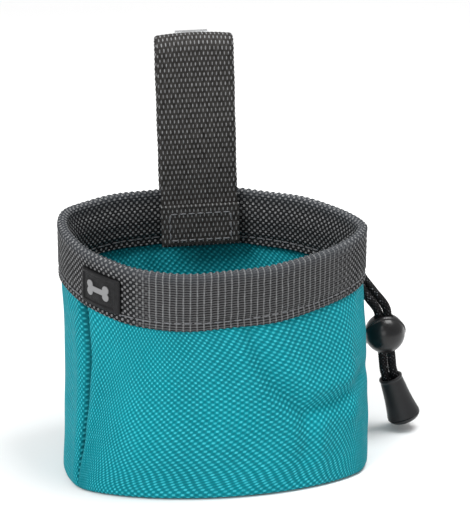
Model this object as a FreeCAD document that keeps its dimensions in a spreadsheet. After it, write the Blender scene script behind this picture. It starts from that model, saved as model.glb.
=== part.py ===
import FreeCAD, Part
import math
import os

from FreeCAD import Placement, Rotation, Vector

# A belt-worn treat pouch: a soft oval fabric sack with a folded webbing rim band, a drawcord
# in the band, a cord lock and a cord end on its two tails, and a webbing belt loop with a spring clip.
# Millimetres, +Z up. The origin is the centre of the base's underside, the front faces -Y.

DIMENSIONS = [
    # name, value, what it is
    ("fabric", 0.8, "thickness of the woven cloth"),
    ("base_mean", 43.0, "base outline: mean radius"),
    ("base_right", 0.2, "base outline: shift to the right"),
    ("base_back", -1.1, "base outline: shift to the rear"),
    ("base_oval", 7.3, "base outline: wider than deep"),
    ("base_oval_skew", 1.4, "base outline: the oval's turn"),
    ("base_egg", 0.0, "base outline: one side blunter"),
    ("base_egg_skew", -0.8, "base outline: front blunter"),
    ("base_square", -1.7, "base outline: squareness"),
    ("base_square_skew", -0.3, "base outline: the square's turn"),
    ("waist_mean", 42.6, "middle outline: mean radius"),
    ("waist_right", 0.3, "middle outline: shift to the right"),
    ("waist_back", 4.2, "middle outline: shift to the rear"),
    ("waist_oval", 6.4, "middle outline: wider than deep"),
    ("waist_oval_skew", 0.3, "middle outline: the oval's turn"),
    ("waist_egg", 0.8, "middle outline: one side blunter"),
    ("waist_egg_skew", 0.2, "middle outline: front blunter"),
    ("waist_square", -0.8, "middle outline: squareness"),
    ("waist_square_skew", -0.5, "middle outline: the square's turn"),
    ("waist_height", 29.0, "height of the middle outline"),
    ("rim_mean", 42.1, "rim outline: mean radius"),
    ("rim_right", -0.7, "rim outline: shift to the right"),
    ("rim_back", 3.4, "rim outline: shift to the rear, in the rim's frame"),
    ("rim_oval", 5.6, "rim outline: wider than deep"),
    ("rim_oval_skew", -0.8, "rim outline: the oval's turn"),
    ("rim_egg", 1.7, "rim outline: one side blunter"),
    ("rim_egg_skew", 1.2, "rim outline: front blunter"),
    ("rim_square", 0.1, "rim outline: squareness"),
    ("rim_square_skew", -0.8, "rim outline: the square's turn"),
    ("rim_centre", 7.0, "how far the rim's frame lies behind the base's centre"),
    ("rim_height", 73.3, "height of the rim's frame"),
    ("rim_tilt", 5.0, "degrees that the rim rises towards the rear"),
    ("seam_turn", 20.0, "degrees that the seams' plane is turned from the width"),
    ("seam_lean", 19.2, "degrees that the seams' plane leans to the rear"),
    ("seam_centre", -6.9, "where the seams' plane crosses the middle of the base"),
    ("band_height", 18.0, "height of the folded rim band"),
    ("ply", 1.0, "thickness of one ply of the band"),
    ("channel", 2.9, "width of the drawcord's channel"),
    ("channel_roof", 1.4, "web over the channel, at the fold"),
    ("panel_tuck", 3.0, "how far the panels reach up into the band"),
    ("fold_radius", 2.2, "rounding of the band's top fold"),
    ("thread", 0.4, "sewing thread"),
    ("thread_proud", 0.25, "how far the thread stands out"),
    ("band_seam", 2.3, "height of the seam above the band's lower edge"),
    ("side_thread", 0.5, "thickness of the side seams' stitching"),
    ("cord", 2.8, "diameter of the drawcord"),
    ("cord_pitch", 2.9, "distance between the two tails' centres"),
    ("cord_level", 13.4, "depth of the drawcord below the rim"),
    ("cord_turn", 3.2, "radius of the drawcord's turn at its exit"),
    ("exit_angle", 40.0, "degrees from +X to the direction of the cord exit"),
    ("exit_width", 8.4, "width of the exit slot"),
    ("exit_height", 3.6, "height of the exit slot"),
    ("strap_width", 25.0, "width of the belt loop's webbing"),
    ("strap", 1.4, "thickness of the belt loop's webbing"),
    ("strap_lean", 1.5, "degrees that the belt loop leans towards -X"),
    ("strap_shift", -0.7, "where the belt loop stands, from the middle"),
    ("strap_front", 39.0, "middle of the front layer"),
    ("strap_rear", 47.5, "middle of the rear layer above the rim"),
    ("strap_tail", 49.3, "middle of the rear layer's lower end"),
    ("strap_foot", 59.0, "lower end of both layers"),
    ("strap_knee", 76.7, "height where the rear layer bends at the rim"),
    ("strap_top", 128.5, "height of the loop's fold, at mid thickness"),
    ("box_width", 20.0, "width of the box stitch"),
    ("box_height", 9.0, "height of the box stitch"),
    ("box_foot", 61.0, "height of the box stitch's lower side"),
    ("clip_width", 10.5, "width of the spring strip"),
    ("clip", 0.8, "thickness of the spring strip"),
    ("clip_gap", 5.0, "distance between the clip's legs, inside"),
    ("clip_top", 127.7, "height of the clip's bend, at mid thickness"),
    ("clip_foot", 86.0, "lower end of the clip's fixed leg"),
    ("arm_foot", 82.0, "lower end of the clip's arm"),
    ("arm_pinch", 90.0, "height where the arm comes nearest to the loop"),
    ("arm_knee", 102.0, "height where the arm starts to bend inwards"),
    ("pinch_gap", 1.2, "gap at the arm's nearest point"),
    ("rivet", 1.2, "radius of a rivet's shank"),
    ("rivet_head", 2.1, "radius of a rivet's head"),
    ("rivet_cap", 0.55, "height of a rivet's head"),
    ("rivet_low", 95.0, "height of the lower rivet"),
    ("rivet_pitch", 24.0, "distance between the rivets"),
    ("label_width", 17.0, "width of the label"),
    ("label_height", 11.2, "height of the label"),
    ("label_top", 4.3, "distance of the label below the rim"),
    ("label_plate", 0.8, "thickness of the label's plate"),
    ("label_frame", 0.35, "height of the label's raised frame"),
    ("lock_radius", 6.6, "radius of the ball cord lock"),
    ("lock_bore", 4.3, "radius of the plunger's bore"),
    ("lock_floor", 4.0, "depth of the plunger's bore past the centre"),
    ("lock_seat", 3.0, "radius of the spring's seat"),
    ("lock_seat_depth", 5.35, "depth of the spring's seat past the centre"),
    ("lock_lip", 0.2, "height of the ball's parting lip"),
    ("lock_slot", 1.65, "half width of the cord slot"),
    ("plunger", 4.2, "radius of the plunger"),
    ("plunger_stroke", 1.6, "travel of the plunger"),
    ("plunger_floor", 2.35, "how far the plunger reaches past the centre"),
    ("plunger_shoulder", 5.3, "length of the plunger's straight part"),
    ("plunger_dome", 5.2, "radius of the plunger's domed end"),
    ("spring_radius", 2.3, "mean radius of the coil spring"),
    ("spring_wire", 0.4, "wire of the coil spring"),
    ("bell_mouth", 3.75, "outer radius of the cord end at its mouth"),
    ("bell_base", 5.45, "outer radius of the cord end at its base"),
    ("bell_length", 14.2, "length of the cord end's shell"),
    ("bell_bore", 3.05, "radius of the cord end's bore"),
    ("bell_neck", 2.9, "length of the bore above the knot"),
    ("bell_cavity", 4.3, "radius of the knot's cavity"),
    ("cap_length", 2.2, "length of the cap below the shell"),
    ("cap_plug", 2.0, "length of the cap's plug inside the shell"),
    ("knot", 3.7, "radius of the knot"),
    ("knot_length", 6.2, "length of the knot"),
]

doc = FreeCAD.newDocument("treat_pouch")
sheet = doc.addObject("Spreadsheet::Sheet", "Dims")
for row, (name, value, note) in enumerate(DIMENSIONS, start=1):
    sheet.set(f"A{row}", name)
    sheet.set(f"B{row}", str(value))
    sheet.setAlias(f"B{row}", name)
    sheet.set(f"C{row}", note)
doc.recompute()


def dim(name):
    return float(sheet.get(name))


def bind(feature, **expressions):
    """Binds a feature's properties to the sheet: each value is an expression with Dims cells."""
    for name, expression in expressions.items():
        feature.setExpression(name, expression)
    return feature


PARTS = []


def part(feature, label):
    """Names a finished sub-part."""
    feature.Label = label
    PARTS.append(feature)
    return feature


def shaped(label, shape, placement=None):
    """A sub-part whose shape is set in code, from the sheet's sizes."""
    feature = doc.addObject("Part::Feature", label)
    feature.Shape = shape
    feature.Placement = placement or Placement()
    return part(feature, label)


# ---------------------------------------------------------------- frames

RIM = Placement(
    Vector(0, dim("rim_centre"), dim("rim_height")), Rotation(Vector(1, 0, 0), dim("rim_tilt"))
)
STRAP = Placement(
    Vector(dim("strap_shift"), 0, 0),
    Rotation(Vector(0, 1, 0), -dim("strap_lean")),
    Vector(0, 0, dim("strap_knee")),
)
# the cord lock: its own Z up along the cords, Y towards its button
CORD_LEAN = 6.5
LOCK = Placement(Vector(58.1, 18.0, 33.2), Rotation(Vector(0, 1, 0), -CORD_LEAN))
# the cord end hangs below the lock: its own Z up, out of its mouth
BELL_LEAN = 19.6
BEND_BELOW_LOCK = 13.5
BELL_TURN = Rotation(Vector(0, 1, 0), -BELL_LEAN)
MOUTH_BELOW_BEND = 2.0
CORD_BEND = LOCK.multVec(Vector(0, 0, -BEND_BELOW_LOCK))
BELL_MOUTH = CORD_BEND - BELL_TURN.multVec(Vector(0, 0, MOUTH_BELOW_BEND))
BELL = Placement(BELL_MOUTH, BELL_TURN)

# ---------------------------------------------------------------- outlines
# An outline is given by the distance from the middle to the tangent line that faces each direction:
# a mean, a shift, an oval, an egg and a square term. Adding to it moves the outline out evenly.

OUTLINE_POINTS = 48
TERMS = ("right", "back", "oval", "oval_skew", "egg", "egg_skew", "square", "square_skew")


def outline_point(section, angle, offset=0.0):
    """The point of a section's outline whose outward direction is at an angle, in radians."""
    reach = dim(f"{section}_mean") + offset
    slope = 0.0
    for k in range(4):
        order = k + 1
        even = dim(f"{section}_{TERMS[2 * k]}")
        odd = dim(f"{section}_{TERMS[2 * k + 1]}")
        reach += even * math.cos(order * angle) + odd * math.sin(order * angle)
        slope += order * (odd * math.cos(order * angle) - even * math.sin(order * angle))
    c = math.cos(angle)
    s = math.sin(angle)
    return Vector(reach * c - slope * s, reach * s + slope * c, 0)


def outline_curve(section, offset=0.0):
    """Closed smooth curve."""
    step = 2 * math.pi / OUTLINE_POINTS
    curve = Part.BSplineCurve()
    points = [outline_point(section, k * step, offset) for k in range(OUTLINE_POINTS)]
    curve.interpolate(Points=points, PeriodicFlag=True)
    return curve


def outline(section, offset=0.0):
    return Part.Wire(outline_curve(section, offset).toShape())


def prism(section, offset, bottom, top):
    """Upright solid over a section's outline."""
    face = Part.Face(outline(section, offset))
    face.translate(Vector(0, 0, bottom))
    return face.extrude(Vector(0, 0, top - bottom))


def ring(section, outer, inner, bottom, top):
    return prism(section, outer, bottom, top).cut(prism(section, inner, bottom, top))


def placed(shape, placement):
    moved = shape.copy()
    moved.Placement = placement.multiply(moved.Placement)
    return moved


def block(centre, size, turn=0.0):
    """Box about a centre, turned about its own upright axis."""
    box = Part.makeBox(*size, Vector(-size[0] / 2, -size[1] / 2, -size[2] / 2))
    box.Placement = Placement(Vector(*centre), Rotation(Vector(0, 0, 1), turn))
    return box


# ---------------------------------------------------------------- sack

BAND_FOOT = -dim("band_height")
TUCK_TOP = BAND_FOOT + dim("panel_tuck")


def sack(offset):
    """The sack's solid inside a wall offset: base, middle and the rim's straight collar."""
    base = outline("base", offset)
    base.translate(Vector(0, 0, dim("fabric")))
    waist = outline("waist", offset)
    waist.translate(Vector(0, 0, dim("waist_height")))
    top = outline("rim", offset)
    top.translate(Vector(0, 0, BAND_FOOT))
    body = Part.makeLoft([base, waist, placed(top, RIM)], True, False)
    collar = placed(prism("rim", offset, BAND_FOOT, TUCK_TOP), RIM)
    return body.fuse(collar)


# both side seams lie in one plane, which leans to the rear
TURN = Rotation(Vector(0, 0, 1), dim("seam_turn"))
LEAN = Rotation(Vector(1, 0, 0), -dim("seam_lean"))
SEAM_PLANE = Placement(Vector(0, dim("seam_centre"), 0), TURN.multiply(LEAN))


def seam_side(sign):
    """Everything on one side of the plane through the two side seams."""
    reach = 400.0
    half = Part.makeBox(reach, reach, reach, Vector(-reach / 2, 0 if sign > 0 else -reach, -reach / 2))
    half.Placement = SEAM_PLANE
    return half


EXIT = math.radians(dim("exit_angle"))
OUTWARD = Vector(math.cos(EXIT), math.sin(EXIT), 0)
ALONG = Vector(-math.sin(EXIT), math.cos(EXIT), 0)


def exit_point(out, along=0.0, level=0.0):
    """A point in the rim's frame, out from the sack and along the band at the cord exit."""
    return outline_point("rim", EXIT, out) + ALONG * along + Vector(0, 0, level)


wall = sack(0.0).cut(sack(-dim("fabric")))
shaped("front_panel", wall.common(seam_side(-1)))
shaped("back_panel", wall.common(seam_side(1)))
shaped("base_panel", prism("base", 0.0, 0.0, dim("fabric")))

# the side seams' stitching lies along the two joints, on the inside
THREAD_GAP = 0.05
lining = sack(-dim("fabric") - THREAD_GAP).cut(sack(-dim("fabric") - dim("side_thread")))
slab = block((0, 0, 0), (200, dim("side_thread"), 200))
slab.Placement = SEAM_PLANE
seam_height = 44.0
seam_zone = block((0, 0, 0), (200, 200, seam_height))
seam_zone.translate(Vector(0, 0, 4 + seam_height / 2))
shaped("side_seam_stitching", lining.common(slab).common(seam_zone))

# ---------------------------------------------------------------- rim band

INNER_FACE = -dim("channel") - dim("ply")
blank = ring("rim", dim("ply"), INNER_FACE, BAND_FOOT, 0.0)
top_edges = [e for e in blank.Edges if abs(e.BoundBox.ZMin) < 1e-6 and abs(e.BoundBox.ZMax) < 1e-6]
band = blank.makeFillet(dim("fold_radius"), top_edges)
band = band.cut(ring("rim", 0.0, -dim("fabric"), BAND_FOOT, TUCK_TOP))
band = band.cut(ring("rim", 0.0, -dim("channel"), TUCK_TOP, -dim("channel_roof")))
exit_slot = block(
    exit_point(0.0, 0.0, -dim("cord_level")),
    (3 * dim("ply"), dim("exit_width"), dim("exit_height")),
    dim("exit_angle"),
)
band = band.cut(exit_slot)
shaped("rim_band", band, RIM)

# ---------------------------------------------------------------- label, curved with the band

LABEL_TURN = 218.0
LABEL_ANGLE = math.radians(LABEL_TURN)
label_centre = outline_point("rim", LABEL_ANGLE, dim("ply"))
label_centre.z = -dim("label_top") - dim("label_height") / 2
LABEL_DEPTH = 14.0
LABEL_GAP = 0.02


def label_zone(width, height, shift=0.0, turn=LABEL_TURN):
    """Upright block through the band at the label, a given width along the band."""
    centre = label_centre + Vector(-math.sin(LABEL_ANGLE), math.cos(LABEL_ANGLE), 0) * shift
    return block(centre, (LABEL_DEPTH, width, height), turn)


def label_layer(bottom, top):
    face = dim("ply") + LABEL_GAP
    return ring("rim", face + top, face + bottom, BAND_FOOT, 0.0)


label_width = dim("label_width")
label_height = dim("label_height")
plate_top = dim("label_plate")
frame_top = plate_top + dim("label_frame")
plate = label_layer(0.0, plate_top).common(label_zone(label_width, label_height))
frame = label_layer(plate_top, frame_top).common(label_zone(label_width, label_height))
frame = frame.cut(label_zone(label_width - 3.4, label_height - 2.4, -0.6))
shaped("label_patch", plate.fuse(frame), RIM)

# the motif is a plain bone: a bar with two round ends at each tip
BONE_HALF = 2.6
BONE_KNOB = 1.35
motif = label_zone(2 * BONE_HALF, 1.9, -0.6)
for side in (-1, 1):
    for rise in (-1, 1):
        knob = Part.makeCylinder(BONE_KNOB, LABEL_DEPTH, Vector(0, 0, -LABEL_DEPTH / 2), Vector(0, 0, 1))
        along = Vector(-math.sin(LABEL_ANGLE), math.cos(LABEL_ANGLE), 0) * (side * BONE_HALF - 0.6)
        place = label_centre + along + Vector(0, 0, rise * 1.0)
        radial = Rotation(Vector(0, 0, 1), Vector(math.cos(LABEL_ANGLE), math.sin(LABEL_ANGLE), 0))
        knob.Placement = Placement(place, radial)
        motif = motif.fuse(knob)
shaped("label_motif", label_layer(plate_top, frame_top).common(motif), RIM)

# ---------------------------------------------------------------- band stitching

seam_low = BAND_FOOT + dim("band_seam") - dim("thread") / 2
seam_high = seam_low + dim("thread")
outside = ring("rim", dim("ply") + dim("thread_proud"), dim("ply"), seam_low, seam_high)
inside = ring("rim", INNER_FACE, INNER_FACE - dim("thread_proud"), seam_low, seam_high)
under_strap = block((0, outline_point("rim", math.pi / 2).y, 0), (dim("strap_width") + 3, 16, 60))
outside = outside.cut(under_strap).cut(label_zone(label_width + 1.0, 40.0))
shaped("band_stitching", Part.makeCompound(outside.Solids + inside.Solids), RIM)

# ---------------------------------------------------------------- paths of straight runs and tangent arcs


def rounded_path(points, radii=None, report=None):
    """Wire through the points, corners rounded. With no radii, an arc takes 0.45 of its shorter run."""
    points = [Vector(*p) for p in points]
    edges = []
    used = []
    start = points[0]
    for k in range(1, len(points) - 1):
        before = points[k] - points[k - 1]
        after = points[k + 1] - points[k]
        half_turn = before.getAngle(after) / 2
        if radii is None:
            radius = 0.45 * min(before.Length, after.Length) / math.tan(half_turn)
        else:
            radius = radii[k - 1]
        reach = radius * math.tan(half_turn)
        into = points[k] - before.normalize() * reach
        out = points[k] + after.normalize() * reach
        inward = (after - before).normalize()
        middle = points[k] + inward * (radius / math.cos(half_turn) - radius)
        if (into - start).Length > 1e-6:
            edges.append(Part.LineSegment(start, into).toShape())
        edges.append(Part.Arc(into, middle, out).toShape())
        start = out
        used.append(round(radius, 2))
    edges.append(Part.LineSegment(start, points[-1]).toShape())
    if report:
        print(report, "bend radii", used)
    return Part.Wire(edges)


def swept(path, section):
    return path.makePipeShell([section], True, False)


def round_section(at, along, diameter):
    return Part.Wire(Part.makeCircle(diameter / 2, at, along))


def tube(label, path, diameter):
    """Round tube on a path; its volume has to be its section times its length."""
    first = path.OrderedEdges[0]
    at = path.OrderedVertexes[0].Point
    along = (first.valueAt(first.LastParameter) - first.valueAt(first.FirstParameter)).normalize()
    if (first.valueAt(first.FirstParameter) - at).Length > 1e-6:
        along = along * -1
    solid = swept(path, round_section(at, along, diameter))
    expected = math.pi * diameter**2 / 4 * path.Length
    ratio = solid.Volume / expected
    print(label, "length", round(path.Length, 2), "volume over section times length", round(ratio, 5))
    if abs(ratio - 1) > 0.01:
        raise RuntimeError(f"{label} doesn't have its volume")
    return solid


# ---------------------------------------------------------------- drawcord

LOOP_OFFSET = -dim("channel") / 2
HALF_PITCH = dim("cord_pitch") / 2
TURN_ARC = dim("cord_turn")
loop_curve = outline_curve("rim", LOOP_OFFSET)


def loop_end(side):
    """Direction angle on the loop where the turn to the exit starts, on one side of the exit."""
    near = 0.0
    far = 0.6
    for _ in range(60):
        middle = (near + far) / 2
        at = EXIT + side * middle
        centre = outline_point("rim", at, LOOP_OFFSET + TURN_ARC)
        if side * (centre - exit_point(0.0)).dot(ALONG) < HALF_PITCH + TURN_ARC:
            near = middle
        else:
            far = middle
    return EXIT + side * near


def loop_place(side):
    """The loop curve's parameter at that direction angle."""
    return loop_curve.parameter(outline_point("rim", loop_end(side), LOOP_OFFSET))


def exit_turn(side):
    """The arc from the loop round to the outward direction, on one side of the exit."""
    at = loop_end(side)
    centre = outline_point("rim", at, LOOP_OFFSET + TURN_ARC)
    on_loop = loop_curve.value(loop_place(side))
    on_exit = centre - ALONG * side * TURN_ARC
    middle = centre + ((on_loop - centre) + (on_exit - centre)).normalize() * TURN_ARC
    return Part.Arc(on_loop, middle, on_exit).toShape(), on_exit


round_trip = loop_curve.LastParameter - loop_curve.FirstParameter
run = Part.Edge(loop_curve, loop_place(1), loop_place(-1) + round_trip)
rear_turn, rear_end = exit_turn(1)
front_turn, front_end = exit_turn(-1)
loop_path = Part.Wire([rear_turn, run, front_turn])
COLUMN = Vector(0, 0, -dim("cord_level"))
loop_path.translate(COLUMN)
loop_start = rear_end + COLUMN
loop = swept(loop_path, round_section(loop_start, OUTWARD, dim("cord")))
loop_expected = math.pi * dim("cord") ** 2 / 4 * loop_path.Length
print("drawcord_loop length", round(loop_path.Length, 1), "ratio", round(loop.Volume / loop_expected, 5))
shaped("drawcord_loop", loop, RIM)

EXIT_DIRECTION = RIM.Rotation.multVec(OUTWARD)
TAIL_STARTS = [RIM.multVec(end + COLUMN) for end in (rear_end, front_end)]
print("exit direction", [round(v, 4) for v in EXIT_DIRECTION])
print("tail starts", [[round(v, 2) for v in p] for p in TAIL_STARTS])

# routes of the two free tails, from the exit to the knot: the rear tail runs on the outside of the bundle
END_GAP = 0.02


def tail_route(side, start, straight_out, middle, above_lock):
    """Points of one tail: out of the band, round the middle points, through the lock, into the cord end."""
    across = side * HALF_PITCH
    wedge = across * math.tan(math.radians(BELL_LEAN - CORD_LEAN) / 2)
    return [
        start,
        start + EXIT_DIRECTION * straight_out,
        *[Vector(*point) for point in middle],
        LOCK.multVec(Vector(across, 0, above_lock)),
        LOCK.multVec(Vector(across, 0, wedge - BEND_BELOW_LOCK)),
        BELL.multVec(Vector(across, 0, END_GAP - dim("bell_neck"))),
    ]


OUTER_MIDDLE = [(48.0, 32.6, 58.9), (49.5, 30.5, 54.2), (51.1, 26.4, 50.8), (55.1, 21.1, 46.1)]
INNER_MIDDLE = [(48.4, 29.3, 59.5), (48.6, 26.7, 55.7), (48.0, 23.9, 50.8), (51.8, 19.9, 44.8)]
TAILS = {
    "drawcord_tail_outer": tail_route(1, TAIL_STARTS[0], 3.9, OUTER_MIDDLE, 9.1),
    "drawcord_tail_inner": tail_route(-1, TAIL_STARTS[1], 3.4, INNER_MIDDLE, 7.9),
}
for label, route in TAILS.items():
    path = rounded_path(route, report=label)
    print(label, "route", [[round(v, 2) for v in p] for p in route])
    shaped(label, tube(label, path, dim("cord")))

# ---------------------------------------------------------------- belt loop and its stitching

front = dim("strap_front")
rear = dim("strap_rear")
fold = (rear - front) / 2
strap_points = [
    (0, front, dim("strap_foot")),
    (0, front, dim("strap_top")),
    (0, rear, dim("strap_top")),
    (0, rear, dim("strap_knee")),
    (0, dim("strap_tail"), dim("strap_foot")),
]
KNEE_RADIUS = 12.0


def flat_section(at, width, thickness):
    """Rectangle across a strip that starts upright, at a point of its path."""
    x, y, z = at
    signs = ((-1, -1), (1, -1), (1, 1), (-1, 1))
    corners = [Vector(x + i * width / 2, y + j * thickness / 2, z) for i, j in signs]
    return Part.makePolygon(corners + corners[:1])


def strip(points, radii, width, thickness):
    return swept(rounded_path(points, radii), flat_section(points[0], width, thickness))


def crosswise(radius, height, near, far):
    """Cylinder along Y between two depths."""
    return Part.makeCylinder(radius, far - near, Vector(0, near, height), Vector(0, 1, 0))


RIVET_HEIGHTS = [dim("rivet_low"), dim("rivet_low") + dim("rivet_pitch")]
HOLE_PLAY = 0.05
strap = strip(strap_points, [fold, fold, KNEE_RADIUS], dim("strap_width"), dim("strap"))
for height in RIVET_HEIGHTS:
    strap = strap.cut(crosswise(dim("rivet") + HOLE_PLAY, height, rear - 2, rear + 2))
shaped("strap_loop", strap, STRAP)


def stitch_frame(depth, lean=0.0):
    """Rectangular run of thread on one face of the belt loop."""
    width = dim("box_width")
    height = dim("box_height")
    thread = dim("thread")
    outer = block((0, 0, 0), (width, dim("thread_proud"), height))
    inner = block((0, 0, 0), (width - 2 * thread, 1, height - 2 * thread))
    result = outer.cut(inner)
    result.rotate(Vector(0, 0, 0), Vector(1, 0, 0), lean)
    result.translate(Vector(0, depth, dim("box_foot") + height / 2))
    return result


stitch_middle = dim("box_foot") + dim("box_height") / 2
tail_slope = (dim("strap_tail") - rear) / (dim("strap_knee") - dim("strap_foot"))
tail_depth = rear + (dim("strap_knee") - stitch_middle) * tail_slope
proud = dim("strap") / 2 + dim("thread_proud") / 2 + 0.02
stitches = [
    stitch_frame(front - proud),
    stitch_frame(tail_depth + proud, math.degrees(math.atan(tail_slope))),
]
shaped("strap_stitching", Part.makeCompound(stitches), STRAP)

# ---------------------------------------------------------------- spring clip and rivets

CLIP_PLAY = 0.03
plate_depth = rear + dim("strap") / 2 + CLIP_PLAY + dim("clip") / 2
arm_depth = plate_depth + dim("clip_gap") + dim("clip")
bend = (arm_depth - plate_depth) / 2
HINGE_HEIGHT = dim("clip_top") - bend - 1.0
HINGE_PLAY = 0.02
hinge_end = HINGE_HEIGHT + dim("clip") / 2 + HINGE_PLAY
plate_points = [
    (0, plate_depth, dim("clip_foot")),
    (0, plate_depth, dim("clip_top")),
    (0, arm_depth, dim("clip_top")),
    (0, arm_depth, hinge_end),
]
clip_plate = strip(plate_points, [bend, bend], dim("clip_width"), dim("clip"))
for height in RIVET_HEIGHTS:
    clip_plate = clip_plate.cut(crosswise(dim("rivet") + HOLE_PLAY, height, plate_depth - 1, plate_depth + 1))
shaped("belt_clip_plate", clip_plate, STRAP)

pinch_depth = plate_depth + dim("clip") + dim("pinch_gap")
arm_points = [
    (0, arm_depth, HINGE_HEIGHT),
    (0, arm_depth, dim("arm_knee")),
    (0, pinch_depth, dim("arm_pinch")),
    (0, arm_depth, dim("arm_foot")),
]
arm = strip(arm_points, [20.0, 4.0], dim("clip_width"), dim("clip"))
hinge_side = Vector(-dim("clip_width") / 2, arm_depth, HINGE_HEIGHT)
knuckle = Part.makeCylinder(dim("clip") / 2, dim("clip_width"), hinge_side, Vector(1, 0, 0))
shaped("belt_clip_arm", arm.fuse(knuckle).removeSplitter(), STRAP)
pivot = STRAP.multVec(Vector(0, arm_depth, HINGE_HEIGHT))
print("clip pivot", [round(v, 3) for v in pivot])

rivet_near = rear - dim("strap") / 2
rivet_far = plate_depth + dim("clip") / 2
rivets = []
for height in RIVET_HEIGHTS:
    shank = crosswise(dim("rivet"), height, rivet_near - 0.1, rivet_far + 0.1)
    heads = [
        crosswise(dim("rivet_head"), height, rivet_near - dim("rivet_cap") - 0.02, rivet_near - 0.02),
        crosswise(dim("rivet_head"), height, rivet_far + 0.02, rivet_far + dim("rivet_cap") + 0.02),
    ]
    rivets.append(shank.fuse(heads).removeSplitter())
shaped("clip_rivets", Part.makeCompound(rivets), STRAP)

# ---------------------------------------------------------------- cord lock

ball = bind(doc.addObject("Part::Sphere", "LockBall"), Radius="Dims.lock_radius")
lip = bind(
    doc.addObject("Part::Cylinder", "LockLip"),
    Radius="Dims.lock_radius + Dims.lock_lip",
    Height="Dims.lock_lip * 3",
)
lip.Placement = Placement(Vector(0, 0, 0), Rotation(Vector(1, 0, 0), -62))
bore = bind(
    doc.addObject("Part::Cylinder", "LockBore"),
    Radius="Dims.lock_bore",
    Height="Dims.lock_floor + 2 * Dims.lock_radius",
)
bore.Placement = Placement(Vector(0, -dim("lock_floor"), 0), Rotation(Vector(1, 0, 0), -90))
bore.setExpression("Placement.Base.y", "-Dims.lock_floor")
seat = bind(
    doc.addObject("Part::Cylinder", "SpringSeat"), Radius="Dims.lock_seat", Height="Dims.lock_seat_depth"
)
seat.Placement = Placement(Vector(0, -dim("lock_seat_depth"), 0), Rotation(Vector(1, 0, 0), -90))
seat.setExpression("Placement.Base.y", "-Dims.lock_seat_depth")


def cord_slot(name, near, far, half_width):
    """Upright slot for the two cords side by side, as a box; near and far are expressions."""
    box = bind(
        doc.addObject("Part::Box", name),
        Length=f"Dims.cord_pitch + 2 * {half_width}",
        Width=f"({far}) - ({near})",
        Height="4 * Dims.lock_radius",
    )
    box.setExpression("Placement.Base.x", f"-Dims.cord_pitch / 2 - {half_width}")
    box.setExpression("Placement.Base.y", near)
    box.setExpression("Placement.Base.z", "-2 * Dims.lock_radius")
    return box


slot = cord_slot("LockSlot", "-Dims.lock_slot", "Dims.lock_slot", "Dims.lock_slot")
shell = doc.addObject("Part::MultiFuse", "LockShell")
shell.Shapes = [ball, lip]
hollows = doc.addObject("Part::MultiFuse", "LockHollows")
hollows.Shapes = [bore, seat, slot]
lock = doc.addObject("Part::Cut", "LockBody")
lock.Base = shell
lock.Tool = hollows
lock.Placement = LOCK
part(lock, "cord_lock_body")

stem = bind(
    doc.addObject("Part::Cylinder", "PlungerStem"),
    Radius="Dims.plunger",
    Height="Dims.plunger_floor + Dims.plunger_dome + 4",
)
stem.Placement = Placement(Vector(0, -dim("plunger_floor"), 0), Rotation(Vector(1, 0, 0), -90))
stem.setExpression("Placement.Base.y", "-Dims.plunger_floor")
dome = bind(doc.addObject("Part::Sphere", "PlungerDome"), Radius="Dims.plunger_dome * 1.62")
dome.setExpression("Placement.Base.y", "-0.85")
plug = doc.addObject("Part::MultiCommon", "PlungerPlug")
plug.Shapes = [stem, dome]
window = cord_slot(
    "PlungerSlot", "-Dims.lock_slot + 0.15", "Dims.lock_slot + Dims.plunger_stroke", "Dims.lock_slot - 0.1"
)
plunger = doc.addObject("Part::Cut", "Plunger")
plunger.Base = plug
plunger.Tool = window
plunger.Placement = LOCK
part(plunger, "cord_lock_plunger")

# the spring stands between its seat and the plunger's floor
SPRING_PLAY = 0.03
spring_start = -dim("lock_seat_depth") + dim("spring_wire") / 2 + SPRING_PLAY
spring_length = dim("lock_seat_depth") - dim("plunger_floor") - dim("spring_wire") - 2 * SPRING_PLAY
SPRING_TURNS = 3
helix = Part.makeHelix(spring_length / SPRING_TURNS, spring_length, dim("spring_radius"))
wire_at = Vector(dim("spring_radius"), 0, 0)
wire_section = round_section(wire_at, Vector(0, 1, 0), dim("spring_wire"))
coil = Part.Wire(helix).makePipeShell([wire_section], True, True)
coil_place = LOCK.multiply(Placement(Vector(0, spring_start, 0), Rotation(Vector(1, 0, 0), -90)))
shaped("cord_lock_spring", coil, coil_place)

# ---------------------------------------------------------------- cord end

cone = bind(
    doc.addObject("Part::Cone", "BellCone"),
    Radius1="Dims.bell_base",
    Radius2="Dims.bell_mouth",
    Height="Dims.bell_length",
)
cone.setExpression("Placement.Base.z", "-Dims.bell_length")
throat = bind(
    doc.addObject("Part::Cylinder", "BellBore"), Radius="Dims.bell_bore", Height="Dims.bell_length + 2"
)
throat.setExpression("Placement.Base.z", "-Dims.bell_length - 1")
room = bind(
    doc.addObject("Part::Cone", "BellRoom"),
    Radius1="Dims.bell_cavity",
    Radius2="Dims.knot + 0.1",
    Height="Dims.bell_length - Dims.bell_neck + 1",
)
room.setExpression("Placement.Base.z", "-Dims.bell_length - 1")
bell_hollow = doc.addObject("Part::MultiFuse", "BellHollow")
bell_hollow.Shapes = [throat, room]
bell = doc.addObject("Part::Cut", "Bell")
bell.Base = cone
bell.Tool = bell_hollow
bell.Placement = BELL
part(bell, "cord_end_bell")

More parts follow.
